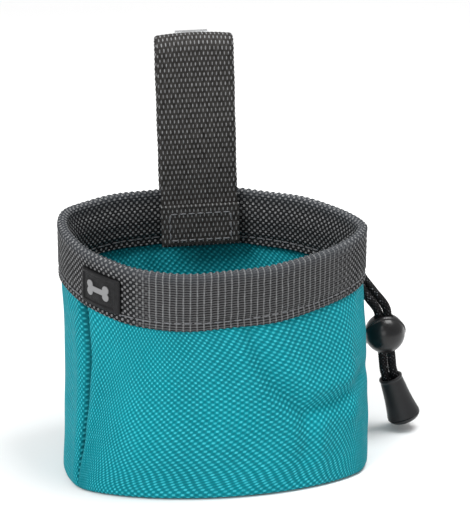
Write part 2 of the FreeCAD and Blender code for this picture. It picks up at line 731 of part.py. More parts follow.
disc = bind(doc.addObject("Part::Cylinder", "CapDisc"), Radius="Dims.bell_base", Height="Dims.cap_length")
disc.setExpression("Placement.Base.z", "-Dims.bell_length - Dims.cap_length")
doc.recompute()
rounded_disc = doc.addObject("Part::Fillet", "CapRounded")
rounded_disc.Base = disc
base_edge = [
    i + 1
    for i, e in enumerate(disc.Shape.Edges)
    if e.BoundBox.ZMax < -dim("bell_length") - dim("cap_length") + 1e-6
]
CAP_ROUND = 1.9
rounded_disc.Edges = [(i, CAP_ROUND, CAP_ROUND) for i in base_edge]
cap_plug = bind(
    doc.addObject("Part::Cylinder", "CapPlug"), Radius="Dims.bell_cavity - 0.15", Height="Dims.cap_plug + 0.5"
)
cap_plug.setExpression("Placement.Base.z", "-Dims.bell_length - 0.5")
cap = doc.addObject("Part::MultiFuse", "Cap")
cap.Shapes = [rounded_disc, cap_plug]
cap.Placement = BELL
part(cap, "cord_end_cap")

# the knot is a round lump under the bore, flat where the two tails run into it
lump = bind(
    doc.addObject("Part::Ellipsoid", "KnotLump"),
    Radius1="Dims.knot_length / 2 + 1",
    Radius2="Dims.knot",
    Radius3="Dims.knot",
)
lump.setExpression("Placement.Base.z", "-Dims.bell_neck - Dims.knot_length / 2")
trim = bind(doc.addObject("Part::Box", "KnotTrim"), Length="20", Width="20", Height="Dims.knot_length")
trim.Placement = Placement(Vector(-10, -10, 0), Rotation())
trim.setExpression("Placement.Base.z", "-Dims.bell_neck - Dims.knot_length")
knot = doc.addObject("Part::MultiCommon", "Knot")
knot.Shapes = [lump, trim]
knot.Placement = BELL
part(knot, "drawcord_knot")

# ---------------------------------------------------------------- check and write

doc.recompute()
for item in doc.Objects:
    if "Invalid" in item.State or "Error" in item.State:
        raise RuntimeError(f"{item.Name} failed: {item.State}")
os.makedirs("parts", exist_ok=True)
for item in PARTS:
    if item.Shape.isNull() or not item.Shape.isValid() or not item.Shape.Solids:
        raise RuntimeError(f"{item.Label} has no valid solid")
    box = item.Shape.BoundBox
    low = [round(v, 1) for v in (box.XMin, box.YMin, box.ZMin)]
    high = [round(v, 1) for v in (box.XMax, box.YMax, box.ZMax)]
    print(item.Label, len(item.Shape.Solids), "solids, volume", round(item.Shape.Volume, 1), low, high)
    item.Shape.exportStep(f"parts/{item.Label}.step")
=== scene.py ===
import math

import bmesh
import bpy
import numpy as np
from mathutils import Matrix, Vector


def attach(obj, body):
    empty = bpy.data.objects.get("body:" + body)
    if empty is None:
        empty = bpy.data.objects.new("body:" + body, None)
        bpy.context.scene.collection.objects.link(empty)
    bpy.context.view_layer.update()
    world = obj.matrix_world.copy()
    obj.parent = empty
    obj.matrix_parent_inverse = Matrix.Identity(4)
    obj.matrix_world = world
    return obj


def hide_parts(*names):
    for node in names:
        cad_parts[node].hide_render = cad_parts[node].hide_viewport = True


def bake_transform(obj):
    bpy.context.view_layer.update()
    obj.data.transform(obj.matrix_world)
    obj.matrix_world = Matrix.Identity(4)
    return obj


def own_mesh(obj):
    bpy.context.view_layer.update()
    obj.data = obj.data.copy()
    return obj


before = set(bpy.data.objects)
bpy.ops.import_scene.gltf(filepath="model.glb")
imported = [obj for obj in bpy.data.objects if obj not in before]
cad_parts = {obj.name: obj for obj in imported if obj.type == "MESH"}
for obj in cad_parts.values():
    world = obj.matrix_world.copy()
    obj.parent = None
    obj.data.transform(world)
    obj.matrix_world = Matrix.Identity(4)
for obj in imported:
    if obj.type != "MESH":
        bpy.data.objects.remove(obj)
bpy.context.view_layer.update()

# A belt-worn treat pouch. Shapes are worked out in millimetres and stored in metres.
MM = 0.001
TAU = 2 * math.pi
scene = bpy.context.scene


def new_object(name, data):
    """An object that is in the scene."""
    thing = bpy.data.objects.new(name, data)
    scene.collection.objects.link(thing)
    return thing


# ---------------- camera and light

TARGET = Vector((0.0, 0.007, 0.062))
AZIMUTH = math.radians(-6)
ELEVATION = math.radians(18)
DISTANCE = 0.7
ROOM_LIGHT = 0.55
KEY_LIGHT = 2.1
KEY_FROM = Vector((-0.62, -0.45, 0.75))
camera = new_object("camera", bpy.data.cameras.new("camera"))
offset = Vector((
    math.sin(AZIMUTH) * math.cos(ELEVATION),
    -math.cos(AZIMUTH) * math.cos(ELEVATION),
    math.sin(ELEVATION),
))
camera.location = TARGET + offset * DISTANCE
camera.rotation_euler = (-offset).to_track_quat("-Z", "Y").to_euler()
camera.data.sensor_fit = "VERTICAL"
camera.data.sensor_height = 36
camera.data.lens = 152.7
camera.data.shift_x = 0.045
camera.data.shift_y = 0.007
scene.camera = camera
scene.view_settings.view_transform = "Standard"

world = bpy.data.worlds.new("soft_room")
world.use_nodes = True
background = world.node_tree.nodes["Background"].inputs
background["Color"].default_value = (1, 1, 1, 1)
background["Strength"].default_value = ROOM_LIGHT
scene.world = world


def soft_light(name, place, size, power):
    """Square area light that faces the pouch."""
    light = bpy.data.lights.new(name, "AREA")
    light.size = size
    light.energy = power
    lamp = new_object(name, light)
    lamp.location = place
    lamp.rotation_euler = (Vector(place) - TARGET).to_track_quat("Z", "Y").to_euler()


sun = bpy.data.lights.new("key_light", "SUN")
sun.energy = KEY_LIGHT
sun.angle = math.radians(30)
key = new_object("key_light", sun)
key.rotation_euler = KEY_FROM.to_track_quat("Z", "Y").to_euler()
soft_light("top_light", (0.20, 0.05, 0.60), 0.30, 3.0)
soft_light("front_light", (-0.25, -0.85, 0.30), 0.4, 1.2)

# ---------------- materials


class Surface:
    """A node material; numbers that vary over the surface come from these small helpers."""

    def __init__(self, name, roughness=0.6, metallic=0.0, coat=0.0, specular=0.5):
        self.material = bpy.data.materials.new(name)
        self.material.use_nodes = True
        self.tree = self.material.node_tree
        self.shader = self.tree.nodes["Principled BSDF"]
        self.shader.inputs["Roughness"].default_value = roughness
        self.shader.inputs["Metallic"].default_value = metallic
        self.shader.inputs["Specular IOR Level"].default_value = specular
        if coat:
            self.shader.inputs["Coat Weight"].default_value = coat
            self.shader.inputs["Coat Roughness"].default_value = 0.12

    def put(self, socket, value):
        if isinstance(value, bpy.types.NodeSocket):
            self.tree.links.new(value, socket)
        else:
            socket.default_value = (*value, 1) if isinstance(value, tuple) else value

    def math(self, operation, *values, clamp=False):
        node = self.tree.nodes.new("ShaderNodeMath")
        node.operation = operation
        node.use_clamp = clamp
        for socket, value in zip(node.inputs, values):
            self.put(socket, value)
        return node.outputs[0]

    def mix(self, amount, low, high):
        """Colour between two colours."""
        node = self.tree.nodes.new("ShaderNodeMix")
        node.data_type = "RGBA"
        colours = [s for s in node.inputs if s.type == "RGBA"]
        self.put(node.inputs[0], amount)
        self.put(colours[0], low)
        self.put(colours[1], high)
        return next(s for s in node.outputs if s.type == "RGBA")

    def times(self, *values):
        return self.math("MULTIPLY", *values)

    def cloth_uv(self):
        """Distances along and up the cloth, in millimetres."""
        node = self.tree.nodes.new("ShaderNodeUVMap")
        node.uv_map = "cloth"
        split = self.tree.nodes.new("ShaderNodeSeparateXYZ")
        self.tree.links.new(node.outputs[0], split.inputs[0])
        return split.outputs[0], split.outputs[1]

    def noise(self, scale, detail=3.0, low=0.0, high=1.0, stretch=(1, 1, 1)):
        """Noise in the object's space; scale is in features per metre."""
        where = self.tree.nodes.new("ShaderNodeTexCoord")
        mapping = self.tree.nodes.new("ShaderNodeMapping")
        mapping.inputs["Scale"].default_value = stretch
        self.tree.links.new(where.outputs["Object"], mapping.inputs[0])
        node = self.tree.nodes.new("ShaderNodeTexNoise")
        node.inputs["Scale"].default_value = scale
        node.inputs["Detail"].default_value = detail
        self.tree.links.new(mapping.outputs[0], node.inputs["Vector"])
        spread = self.tree.nodes.new("ShaderNodeMapRange")
        spread.inputs["From Min"].default_value = 0.3
        spread.inputs["From Max"].default_value = 0.7
        spread.inputs["To Min"].default_value = low
        spread.inputs["To Max"].default_value = high
        self.tree.links.new(node.outputs[0], spread.inputs[0])
        return spread.outputs[0]

    def attribute(self, name):
        """A number stored on the mesh's points."""
        node = self.tree.nodes.new("ShaderNodeAttribute")
        node.attribute_name = name
        return node.outputs["Fac"]

    def wave(self, along, period):
        """Cosine along a distance."""
        return self.math("COSINE", self.times(along, TAU / period))

    def bricks(self, u, v, width, row, sharp, bias=0.0, tall=1.0):
        """Bright spots a width apart, in rows that are shifted by half; above 1, tall makes them longer."""
        up = self.times(self.wave(v, 2 * row), tall)
        up = self.math("MAXIMUM", self.math("MINIMUM", up, 1.0), -1.0)
        product = self.times(self.wave(u, width), up)
        return self.math("MULTIPLY_ADD", product, sharp, bias, clamp=True)

    def finish(self, colour, roughness=None, height=None, depth=0.0002):
        """Connects the shader; depth is the height's scale in metres."""
        self.put(self.shader.inputs["Base Color"], colour)
        if roughness is not None:
            self.put(self.shader.inputs["Roughness"], roughness)
        if height is not None:
            bump = self.tree.nodes.new("ShaderNodeBump")
            bump.inputs["Distance"].default_value = depth
            bump.inputs["Strength"].default_value = 1.0
            self.tree.links.new(height, bump.inputs["Height"])
            self.tree.links.new(bump.outputs[0], self.shader.inputs["Normal"])
        return self.material


# The weaves' pitches, in millimetres along the cloth and from row to row.
OXFORD_PITCH, OXFORD_ROW = 1.45, 0.9
RIB = 2.1
BAND_ROW = 1.0
RUNG = 0.8
STRAP_PITCH, STRAP_ROW = 1.34, 1.7
CLOTH_SHINE = 0.12


def oxford_cloth():
    """Coarse teal cloth: yarn tops of the weave made bright with painted highlight, dark gaps between them,
    and near-black painted shade in the seam's crease.
    """
    s = Surface("teal_oxford", specular=CLOTH_SHINE)
    u, v = s.cloth_uv()
    fuzz = s.noise(900, 2.0, -0.22, 0.22)
    warp_u = s.math("ADD", u, s.noise(160, 2.0, -0.12, 0.12))
    dots = s.bricks(warp_u, v, OXFORD_PITCH, OXFORD_ROW, 2.2, -0.45)
    dots = s.times(dots, s.noise(700, 2.0, 0.45, 1.0))
    gaps = s.bricks(s.math("ADD", warp_u, OXFORD_PITCH / 2), v, OXFORD_PITCH, OXFORD_ROW, 1.5, -0.1)
    shade = s.mix(s.noise(60), (0.0, 0.185, 0.225), (0.0, 0.225, 0.270))
    shade = s.mix(s.times(gaps, 0.55), shade, (0.0, 0.085, 0.110))
    # painted highlight: the weave's yarn tops are coloured bright
    colour = s.mix(dots, shade, (0.050, 0.52, 0.61))
    # painted shade: near black along the side seams' crease
    colour = s.mix(s.times(s.attribute("crease"), 0.95), colour, (0.0, 0.012, 0.018))
    height = s.math("ADD", s.times(dots, 0.9), s.times(gaps, -0.5))
    height = s.math("ADD", height, s.times(fuzz, 0.5))
    return s.finish(colour, s.noise(400, 2.0, 0.62, 0.82), height, 0.00022)


def band_webbing():
    """Ribbed webbing: pale lines with dark rungs between them, pale dashes where it turns away, and a
    painted highlight along the top fold.
    """
    s = Surface("grey_webbing_band", specular=CLOTH_SHINE)
    u, v = s.cloth_uv()
    u = s.math("ADD", u, s.noise(200, 2.0, -0.1, 0.1))
    lines = s.math("MULTIPLY_ADD", s.wave(u, RIB), 2.8, -1.7, clamp=True)
    rungs = s.math("MULTIPLY_ADD", s.wave(v, RUNG), 1.1, 0.5, clamp=True)
    broken = s.times(lines, s.math("MULTIPLY_ADD", rungs, 0.3, 0.7))
    dashes = s.bricks(u, v, RIB, BAND_ROW, 2.8, -0.25)
    ladder = s.attribute("ladder")
    other = s.math("SUBTRACT", 1.0, ladder)
    pale = s.math("ADD", s.times(broken, ladder), s.times(dashes, other))
    pale = s.times(pale, s.noise(900, 2.0, 0.45, 1.0))
    low = s.mix(s.times(rungs, ladder), (0.010, 0.010, 0.011), (0.085, 0.085, 0.087))
    # painted highlight: the dark ground is lighter along the band's top fold
    low = s.mix(s.times(s.attribute("fold"), 0.6), low, (0.060, 0.066, 0.074))
    colour = s.mix(s.times(pale, 0.9), low, (0.255, 0.258, 0.262))
    height = s.math("ADD", pale, s.times(rungs, 0.45))
    height = s.math("ADD", height, s.noise(1200, 2.0, -0.2, 0.2))
    return s.finish(colour, s.noise(500, 2.0, 0.6, 0.85), height, 0.00020)


def strap_webbing():
    """The belt loop's webbing: upright pale dashes in rows, on a dark ground."""
    s = Surface("grey_webbing_strap", specular=CLOTH_SHINE)
    u, v = s.cloth_uv()
    u = s.math("ADD", u, s.noise(200, 2.0, -0.07, 0.07))
    dashes = s.bricks(u, v, STRAP_PITCH, STRAP_ROW, 3.2, -1.15, 1.05)
    dashes = s.times(dashes, s.noise(900, 2.0, 0.5, 1.0))
    ground = s.mix(s.noise(700, 3.0), (0.016, 0.015, 0.014), (0.042, 0.040, 0.038))
    colour = s.mix(dashes, ground, (0.250, 0.252, 0.256))
    height = s.math("ADD", dashes, s.noise(1200, 2.0, -0.25, 0.25))
    return s.finish(colour, s.noise(500, 2.0, 0.6, 0.85), height, 0.00022)


def sewing_thread(name, colour, bright):
    """Twisted thread, between two colours."""
    s = Surface(name, roughness=0.5, specular=0.4)
    u, v = s.cloth_uv()
    twist = s.math("MULTIPLY_ADD", s.wave(s.math("ADD", u, v), 0.35), 0.5, 0.5)
    shade = s.mix(s.times(twist, s.noise(900, 2.0, 0.6, 1.0)), colour, bright)
    return s.finish(shade, s.noise(600, 2.0, 0.45, 0.65), twist, 0.00006)


def braided_cord():
    """Black braid with a few pale flecks of painted highlight on its raised strands."""
    s = Surface("black_braid", specular=CLOTH_SHINE)
    u, v = s.cloth_uv()
    over = s.bricks(u, v, 1.3, 0.55, 2.4, 0.0)
    # painted highlight: sparse pale flecks on the raised strands
    glint = s.times(over, s.noise(1500, 2.0, -1.9, 1.0))
    glint = s.math("MAXIMUM", glint, 0.0)
    colour = s.mix(over, (0.003, 0.003, 0.0035), (0.013, 0.013, 0.014))
    colour = s.mix(s.times(glint, 0.9), colour, (0.30, 0.31, 0.33))
    return s.finish(colour, s.noise(700, 2.0, 0.5, 0.75), over, 0.00015)


def moulded_plastic(name, colour, roughness, coat):
    """Black plastic with slight wear and a fine grain."""
    s = Surface(name, coat=coat, specular=0.3)
    wear = s.noise(160, 4.0)
    shade = s.mix(s.times(wear, 0.5), colour, tuple(c * 1.7 + 0.002 for c in colour))
    rough = s.noise(300, 4.0, roughness - 0.05, roughness + 0.07)
    return s.finish(shade, rough, s.noise(2500, 2.0), 0.00002)


def label_rubber():
    """Black rubber, pale on the raised bone."""
    s = Surface("label_rubber", specular=0.2)
    wear = s.noise(500, 4.0)
    shade = s.mix(wear, (0.003, 0.003, 0.0035), (0.008, 0.008, 0.009))
    shade = s.mix(s.attribute("mark"), shade, (0.22, 0.22, 0.225))
    return s.finish(shade, s.noise(700, 3.0, 0.42, 0.62), s.noise(3500, 2.0), 0.00004)


def spring_metal():
    """Polished steel, brushed along its length."""
    s = Surface("spring_steel", metallic=1.0)
    streaks = s.noise(500, 3.0, 0.0, 1.0, (1, 1, 0.06))
    shade = s.mix(streaks, (0.60, 0.61, 0.63), (0.82, 0.83, 0.84))
    return s.finish(shade, s.noise(350, 3.0, 0.16, 0.32, (1, 1, 0.1)), streaks, 0.00001)


OXFORD = oxford_cloth()
BAND_CLOTH = band_webbing()
STRAP_CLOTH = strap_webbing()
GREY_THREAD = sewing_thread("grey_thread", (0.09, 0.092, 0.098), (0.25, 0.255, 0.27))
TEAL_THREAD = sewing_thread("teal_thread", (0.0, 0.06, 0.08), (0.01, 0.18, 0.22))
DARK_THREAD = sewing_thread("dark_thread", (0.012, 0.012, 0.014), (0.05, 0.05, 0.055))
BRAID = braided_cord()
GLOSSY = moulded_plastic("black_plastic_gloss", (0.004, 0.004, 0.0045), 0.30, 0.25)
SATIN = moulded_plastic("black_plastic_satin", (0.010, 0.010, 0.011), 0.40, 0.0)
RUBBER = label_rubber()
STEEL = spring_metal()

# ---------------- meshes


def mesh_object(name, verts, faces, face_uv, material, attributes=None):
    """A smooth object from millimetre points, with a cloth coordinate for each face corner."""
    mesh = bpy.data.meshes.new(name)
    mesh.from_pydata((np.asarray(verts) * MM).tolist(), [], faces)
    layer = mesh.uv_layers.new(name="cloth")
    layer.data.foreach_set("uv", np.asarray(face_uv, dtype=np.float32).reshape(-1))
    for key, values in (attributes or {}).items():
        stored = mesh.attributes.new(key, "FLOAT", "POINT")
        stored.data.foreach_set("value", np.asarray(values, dtype=np.float32))
    mesh.polygons.foreach_set("use_smooth", np.ones(len(mesh.polygons), dtype=bool))
    mesh.materials.append(material)
    work = bmesh.new()
    work.from_mesh(mesh)
    bmesh.ops.recalc_face_normals(work, faces=work.faces)
    work.to_mesh(mesh)
    work.free()
    mesh.update()
    return new_object(name, mesh)


def piece(name, verts, faces, face_uv, material, body, slot, hides=(), attributes=None):
    """A mesh object that rides on a body and stands for the CAD nodes it hides."""
    thing = mesh_object(name, verts, np.asarray(faces).tolist(), face_uv, material, attributes)
    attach(thing, body)
    if hides:
        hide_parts(*hides)
    return thing


def grid(points, u, v, close_u=False, close_v=False, flip=False):
    """Vertices, quads and corner coordinates of a grid of points; u and v have one more entry if closed."""
    nu, nv = points.shape[:2]
    rows, columns = nu if close_u else nu - 1, nv if close_v else nv - 1
    i, j = np.meshgrid(np.arange(rows), np.arange(columns), indexing="ij")
    i, j = i.ravel(), j.ravel()
    corners = ((i, j), (i + 1, j), (i + 1, j + 1), (i, j + 1))
    if flip:
        corners = corners[::-1]
    faces = np.stack([(a % nu) * nv + b % nv for a, b in corners], axis=1)
    coordinates = np.stack([np.stack([u[a], v[b]], axis=-1) for a, b in corners], axis=1)
    return points.reshape(-1, 3), faces, coordinates


def joined(parts):
    """One mesh from several."""
    verts, faces, coordinates = zip(*parts)
    starts = np.cumsum([0] + [len(v) for v in verts])
    faces = [f + start for f, start in zip(faces, starts)]
    return [np.concatenate(values) for values in (verts, faces, coordinates)]


def capped_ring(points, u, v):
    """A sheet with thickness: a closed ring of points along the second axis, with both ends closed."""
    verts, faces, coordinates = grid(points, u, v, close_v=True)
    nu, nv = points.shape[:2]
    half = nv // 2
    caps, cap_uv = [], []
    for row, way in ((0, -1), (nu - 1, 1)):
        for k in range(half - 1):
            quad = [row * nv + k, row * nv + k + 1, row * nv + nv - 2 - k, row * nv + nv - 1 - k]
            values = [(u[row], v[k]), (u[row], v[k + 1]), (u[row], v[k + 1]), (u[row], v[k])]
            caps.append(quad[::way])
            cap_uv.append(values[::way])
    return verts, np.concatenate([faces, np.array(caps)]), np.concatenate([coordinates, np.array(cap_uv)])


def spun(profile, count):
    """Points of (radius, height) pairs turned about local Z."""
    angle = np.arange(count) * TAU / count
    r, z = profile.T
    x, y = np.outer(np.cos(angle), r), np.outer(np.sin(angle), r)
    return np.stack([x, y, np.tile(z, (count, 1))], axis=-1)


def spun_solid(profile):
    """Closed surface of revolution, from a profile that starts and ends on the axis."""
    count = 72
    profile = np.maximum(profile, (1e-3, -np.inf))
    around = np.arange(count + 1) * TAU / count * profile[:, 0].max()
    return grid(spun(profile, count), around, distances(profile), close_u=True)


def spun_ring(profile, count, around_step, along_step):
    """Closed surface of revolution, from a profile that closes on itself away from the axis."""
    around, along = np.arange(count + 1) * around_step, np.arange(len(profile) + 1) * along_step
    return grid(spun(profile, count), around, along, close_u=True, close_v=True)


def distances(points):
    """Distance along a line of points, at each of them."""
    return np.concatenate([[0], np.cumsum(np.linalg.norm(np.diff(points, axis=0), axis=1))])


def smooth_profile(points):
    """Chaikin's corner cutting on an open profile, ends kept."""
    p = np.array(points, float)
    for _ in range(2):
        near = p[:-1] * 0.75 + p[1:] * 0.25
        far = p[:-1] * 0.25 + p[1:] * 0.75
        p = np.concatenate([p[:1], np.stack([near, far], axis=1).reshape(-1, 2)[1:-1], p[-1:]])
    return p


def bump_at(x, centre, width):
    """1 at the centre, falling to 0 away from it."""
    return np.exp(-(((x - centre) / width) ** 2))


def ripples(u, v, seed, scale, amount, waves=9):
    """Sum of a few long waves in two directions, always the same for the same seed."""
    draw = np.random.RandomState(seed)
    total = 0
    for _ in range(waves):
        length = scale * draw.uniform(0.7, 1.8)
        turn = draw.uniform(0, TAU)
        phase = draw.uniform(0, TAU)
        total = total + np.cos((u * math.cos(turn) + v * math.sin(turn)) * TAU / length + phase)
    return total * amount / math.sqrt(waves)


# ---------------- the two cord tails
# They come first, because reading their lines updates the whole scene, which is still small here.

CORD = 2.8
BRAID_CARRIERS = 8
BRAID_PITCH = 5.0
BRAID_RISE = 0.20
# Each strand's route, in metres: out of the buttonhole, down, and straight through the lock.
TAIL_POINTS = {
    "tail_outer": (
        (0.04121, 0.02942, 0.06181), (0.0442, 0.03192, 0.06203), (0.0480, 0.0326, 0.0589),
        (0.0495, 0.0305, 0.0542), (0.0511, 0.0264, 0.0508), (0.0551, 0.0211, 0.0461),
        (0.05849, 0.0180, 0.04240), (0.05893, 0.0180, 0.03853), (0.06065, 0.0180, 0.02343),
        (0.06103, 0.0180, 0.02011), (0.06263, 0.0180, 0.01568),
    ),
    "tail_inner": (
        (0.04307, 0.0272, 0.06162), (0.04567, 0.02937, 0.06181), (0.0484, 0.0293, 0.0595),
        (0.0490, 0.0265, 0.0557), (0.0490, 0.0233, 0.0505), (0.0525, 0.0196, 0.0450),
        (0.05573, 0.0180, 0.04138), (0.05609, 0.0180, 0.03821), (0.05781, 0.0180, 0.02310),
        (0.05823, 0.0180, 0.01946), (0.0599, 0.0180, 0.0147),
    ),
}


def cord_line(name, points):
    """Points of the smooth line through a tail's route, in millimetres."""
    curve = bpy.data.curves.new(name, "CURVE")
    curve.dimensions = "3D"
    spline = curve.splines.new("NURBS")
    spline.points.add(len(points) - 1)
    for at, point in zip(spline.points, points):
        at.co = (*point, 1)
    spline.order_u = 3
    spline.use_endpoint_u = True
    curve.resolution_u = 24
    line = new_object(name, curve)
    bpy.context.view_layer.update()
    depsgraph = bpy.context.evaluated_depsgraph_get()
    mesh = bpy.data.meshes.new_from_object(line.evaluated_get(depsgraph))
    found = np.array([v.co for v in mesh.vertices])
    bpy.data.objects.remove(line)
    bpy.data.meshes.remove(mesh)
    return found / MM


def braided_tube(line, radius, around=40, step=0.2):
    """A closed tube along a line, with the raised strands of a braid."""
    length = distances(line)
    s = np.linspace(0, length[-1], int(length[-1] / step))
    centre = np.stack([np.interp(s, length, line[:, k]) for k in range(3)], axis=1)
    for _ in range(4):
        centre[1:-1] = (centre[:-2] + 2 * centre[1:-1] + centre[2:]) / 4
    tangent = np.gradient(centre, axis=0)
    tangent /= np.linalg.norm(tangent, axis=1, keepdims=True)
    side = np.cross(tangent[0], (0.3, -0.8, 0.5))
    sides = []
    for t in tangent:
        side = side - t * side.dot(t)
        side = side / np.linalg.norm(side)
        sides.append(side)
    sides = np.array(sides)
    ups = np.cross(tangent, sides)
    angle = np.arange(around) * TAU / around
    half = BRAID_CARRIERS / 2
    twist = s[:, None] * TAU / BRAID_PITCH * half
    left, right = np.cos(half * angle + twist), np.cos(half * angle - twist)
    lift = BRAID_RISE * np.abs(left * right) ** 0.6 - 0.11
    ends = np.minimum(1, np.sqrt(np.clip(np.minimum(s, s[-1] - s) / 0.8 + 0.02, 0, 1)))
    r = (radius + lift) * ends[:, None]
    ring = sides[:, None] * np.cos(angle)[:, None] + ups[:, None] * np.sin(angle)[:, None]
    points = centre[:, None] + ring * r[..., None]
    around_mm = np.arange(around + 1) * TAU / around * radius
    verts, quads, coordinates = grid(points, s, around_mm, close_v=True, flip=True)
    # a lid of triangles at each end
    first, last = len(verts), len(verts) + 1
    verts = np.concatenate([verts, centre[:1], centre[-1:]])
    k = np.arange(around)
    after = (k + 1) % around
    foot = (len(s) - 1) * around
    lids = np.stack([k, after, np.full(around, first)], axis=1).tolist()
    lids += np.stack([foot + after, foot + k, np.full(around, last)], axis=1).tolist()
    lid_uv = np.zeros((3 * len(lids), 2))
    return verts, quads.tolist() + lids, np.concatenate([coordinates.reshape(-1, 2), lid_uv])


for name, points in TAIL_POINTS.items():
    line = cord_line(name + "_line", points)
    tail = mesh_object(name, *braided_tube(line, CORD / 2 - 0.02), BRAID)
    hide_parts("drawcord_" + name)
    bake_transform(tail)

# ---------------- outlines
# An outline is the distance from the middle to the tangent line that faces each direction: its mean, and
# then the cosine and sine terms of one to four turns.

BASE = (43.0, 0.2, -1.1, 7.3, 1.4, 0.0, -0.8, -1.7, -0.3)
WAIST = (42.6, 0.3, 4.2, 6.4, 0.3, 0.8, 0.2, -0.8, -0.5)
RIM = (42.1, -0.7, 3.4, 5.6, -0.8, 1.7, 1.2, 0.1, -0.8)
RIM_CENTRE = 7.0
RIM_HEIGHT = 73.3
RIM_TILT = math.radians(5)
BAND_FOOT = -18.0
BASE_HEIGHT = 0.8
WAIST_HEIGHT = 29.0
WAIST_SHARE = 0.53
FABRIC = 0.8
PLY = 1.0


def outline(terms, angle, out=0.0):
    """Points of an outline whose outward directions are at the angles."""
    reach = terms[0] + out
    slope = 0.0
    for k in range(1, 5):
        even, odd = terms[2 * k - 1], terms[2 * k]
        reach = reach + even * np.cos(k * angle) + odd * np.sin(k * angle)
        slope = slope + k * (odd * np.cos(k * angle) - even * np.sin(k * angle))
    c, s = np.cos(angle), np.sin(angle)
    return np.stack([reach * c - slope * s, reach * s + slope * c], axis=-1)


def rim_place(flat, height):
    """From the rim's tilted frame to the pouch's."""
    c, s = math.cos(RIM_TILT), math.sin(RIM_TILT)
    x, y = flat[..., 0], flat[..., 1]
    return np.stack([x, RIM_CENTRE + y * c - height * s, RIM_HEIGHT + y * s + height * c], axis=-1)


RIM_ANGLES = np.linspace(0, TAU, 7201)
RIM_LENGTHS = distances(outline(RIM, RIM_ANGLES, PLY))
PERIMETER = RIM_LENGTHS[-1]


def rim_angle(length):
    """Direction angle at a distance along the band's outer face."""
    turns = np.floor(length / PERIMETER)
    return np.interp(length - turns * PERIMETER, RIM_LENGTHS, RIM_ANGLES) + turns * TAU


def rim_length(angle):
    """Distance along the band's outer face at a direction angle."""
    turns = np.floor(angle / TAU)
    return np.interp(angle - turns * TAU, RIM_ANGLES, RIM_LENGTHS) + turns * PERIMETER


def length_towards(degrees):
    return float(rim_length(np.array(math.radians(degrees))))


def band_surface(length, height, out):
    """Point off the band's outer face; out is from the sack's outline."""
    angle = rim_angle(np.asarray(length, float))
    normal = np.stack([np.cos(angle), np.sin(angle)], axis=-1)
    flat = outline(RIM, angle) + normal * np.asarray(out)[..., None]
    return rim_place(flat, np.asarray(height, float))


# ---------------- the sack's two panels


def wall(angle, share, out):
    """A point of the smooth wall: share is 0 at the base and 1 at the band's lower edge."""
    low, mid, top = outline(BASE, angle, out), outline(WAIST, angle, out), outline(RIM, angle, out)
    low = np.concatenate([low, np.full(low.shape[:-1] + (1,), BASE_HEIGHT)], axis=-1)
    mid = np.concatenate([mid, np.full(mid.shape[:-1] + (1,), WAIST_HEIGHT)], axis=-1)
    top = rim_place(top, BAND_FOOT)
    a = (share - WAIST_SHARE) * (share - 1) / WAIST_SHARE
    b = share * (share - 1) / (WAIST_SHARE * (WAIST_SHARE - 1))
    c = share * (share - WAIST_SHARE) / (1 - WAIST_SHARE)
    return low * a[..., None] + mid * b[..., None] + top * c[..., None]


def near_line(x, z, line, width):
    """1 on a line of (x, z) points, falling to 0 away from it."""
    nearest = np.full(np.shape(x), 1e9)
    for (x0, z0), (x1, z1) in zip(line[:-1], line[1:]):
        dx, dz = x1 - x0, z1 - z0
        share = np.clip(((x - x0) * dx + (z - z0) * dz) / (dx * dx + dz * dz), 0, 1)
        nearest = np.minimum(nearest, np.hypot(x - x0 - share * dx, z - z0 - share * dz))
    return bump_at(nearest, 0, width)


# shallow folds: (line of x and z, width, depth)
FOLD_STRENGTH = 2.1
FRONT_FOLDS = (
    (((8, 54), (12, 42), (17, 33), (26, 24), (38, 25), (46, 29)), 2.8, -0.95),
    (((3, 55), (7, 44), (11, 33), (17, 24), (24, 16)), 3.4, 0.55),
    (((16, 50), (21, 40), (28, 31), (38, 31)), 4.0, 0.50),
    (((26, 20), (25, 12), (24, 4)), 2.4, -0.45),
    (((31, 18), (30.5, 4)), 2.2, 0.40),
    (((-30, 52), (-27, 36), (-26, 20), (-29, 8)), 4.5, 0.55),
    (((-8, 50), (-10, 38), (-6, 24)), 6.0, -0.40),
    (((-38, 14), (-28, 7), (-14, 5)), 4.0, -0.45),
    (((40, 50), (41, 38), (42, 20)), 3.0, 0.60),
)
BACK_FOLDS = (
    (((-20, 50), (-12, 36), (-16, 18)), 5.0, -0.6),
    (((14, 52), (8, 34), (12, 12)), 5.5, 0.5),
    (((30, 44), (22, 26), (26, 8)), 4.0, -0.5),
)

# The side seams: the turn, place and lean of their plane, and where each is looked for, in degrees.
LEFT_SEAM = (170, 250)
RIGHT_SEAM = (-10, 60)
RIGHT_SEAM_AFTER_A_TURN = (350, 420)
SEAM_TURN = math.radians(20)
SEAM_CENTRE = -6.9
SEAM_RISE = math.tan(math.radians(19.2)) / math.cos(SEAM_TURN)
SEAM_BOW = math.radians(8)
SEAM_RETURN = math.radians(5)

PANEL_STEP = 0.55
PANEL_TALL = 56
VALLEY_DEPTH, VALLEY_WIDTH = 3.4, 1.15
CREASE_SHADE_WIDTH = 1.1
SWELL_HIGH, SWELL_AT, SWELL_WIDTH = 1.15, 5.0, 3.6
PUCKER_HIGH, PUCKER_PITCH = 0.22, 8.3
LOWER_CORNER = 1.5


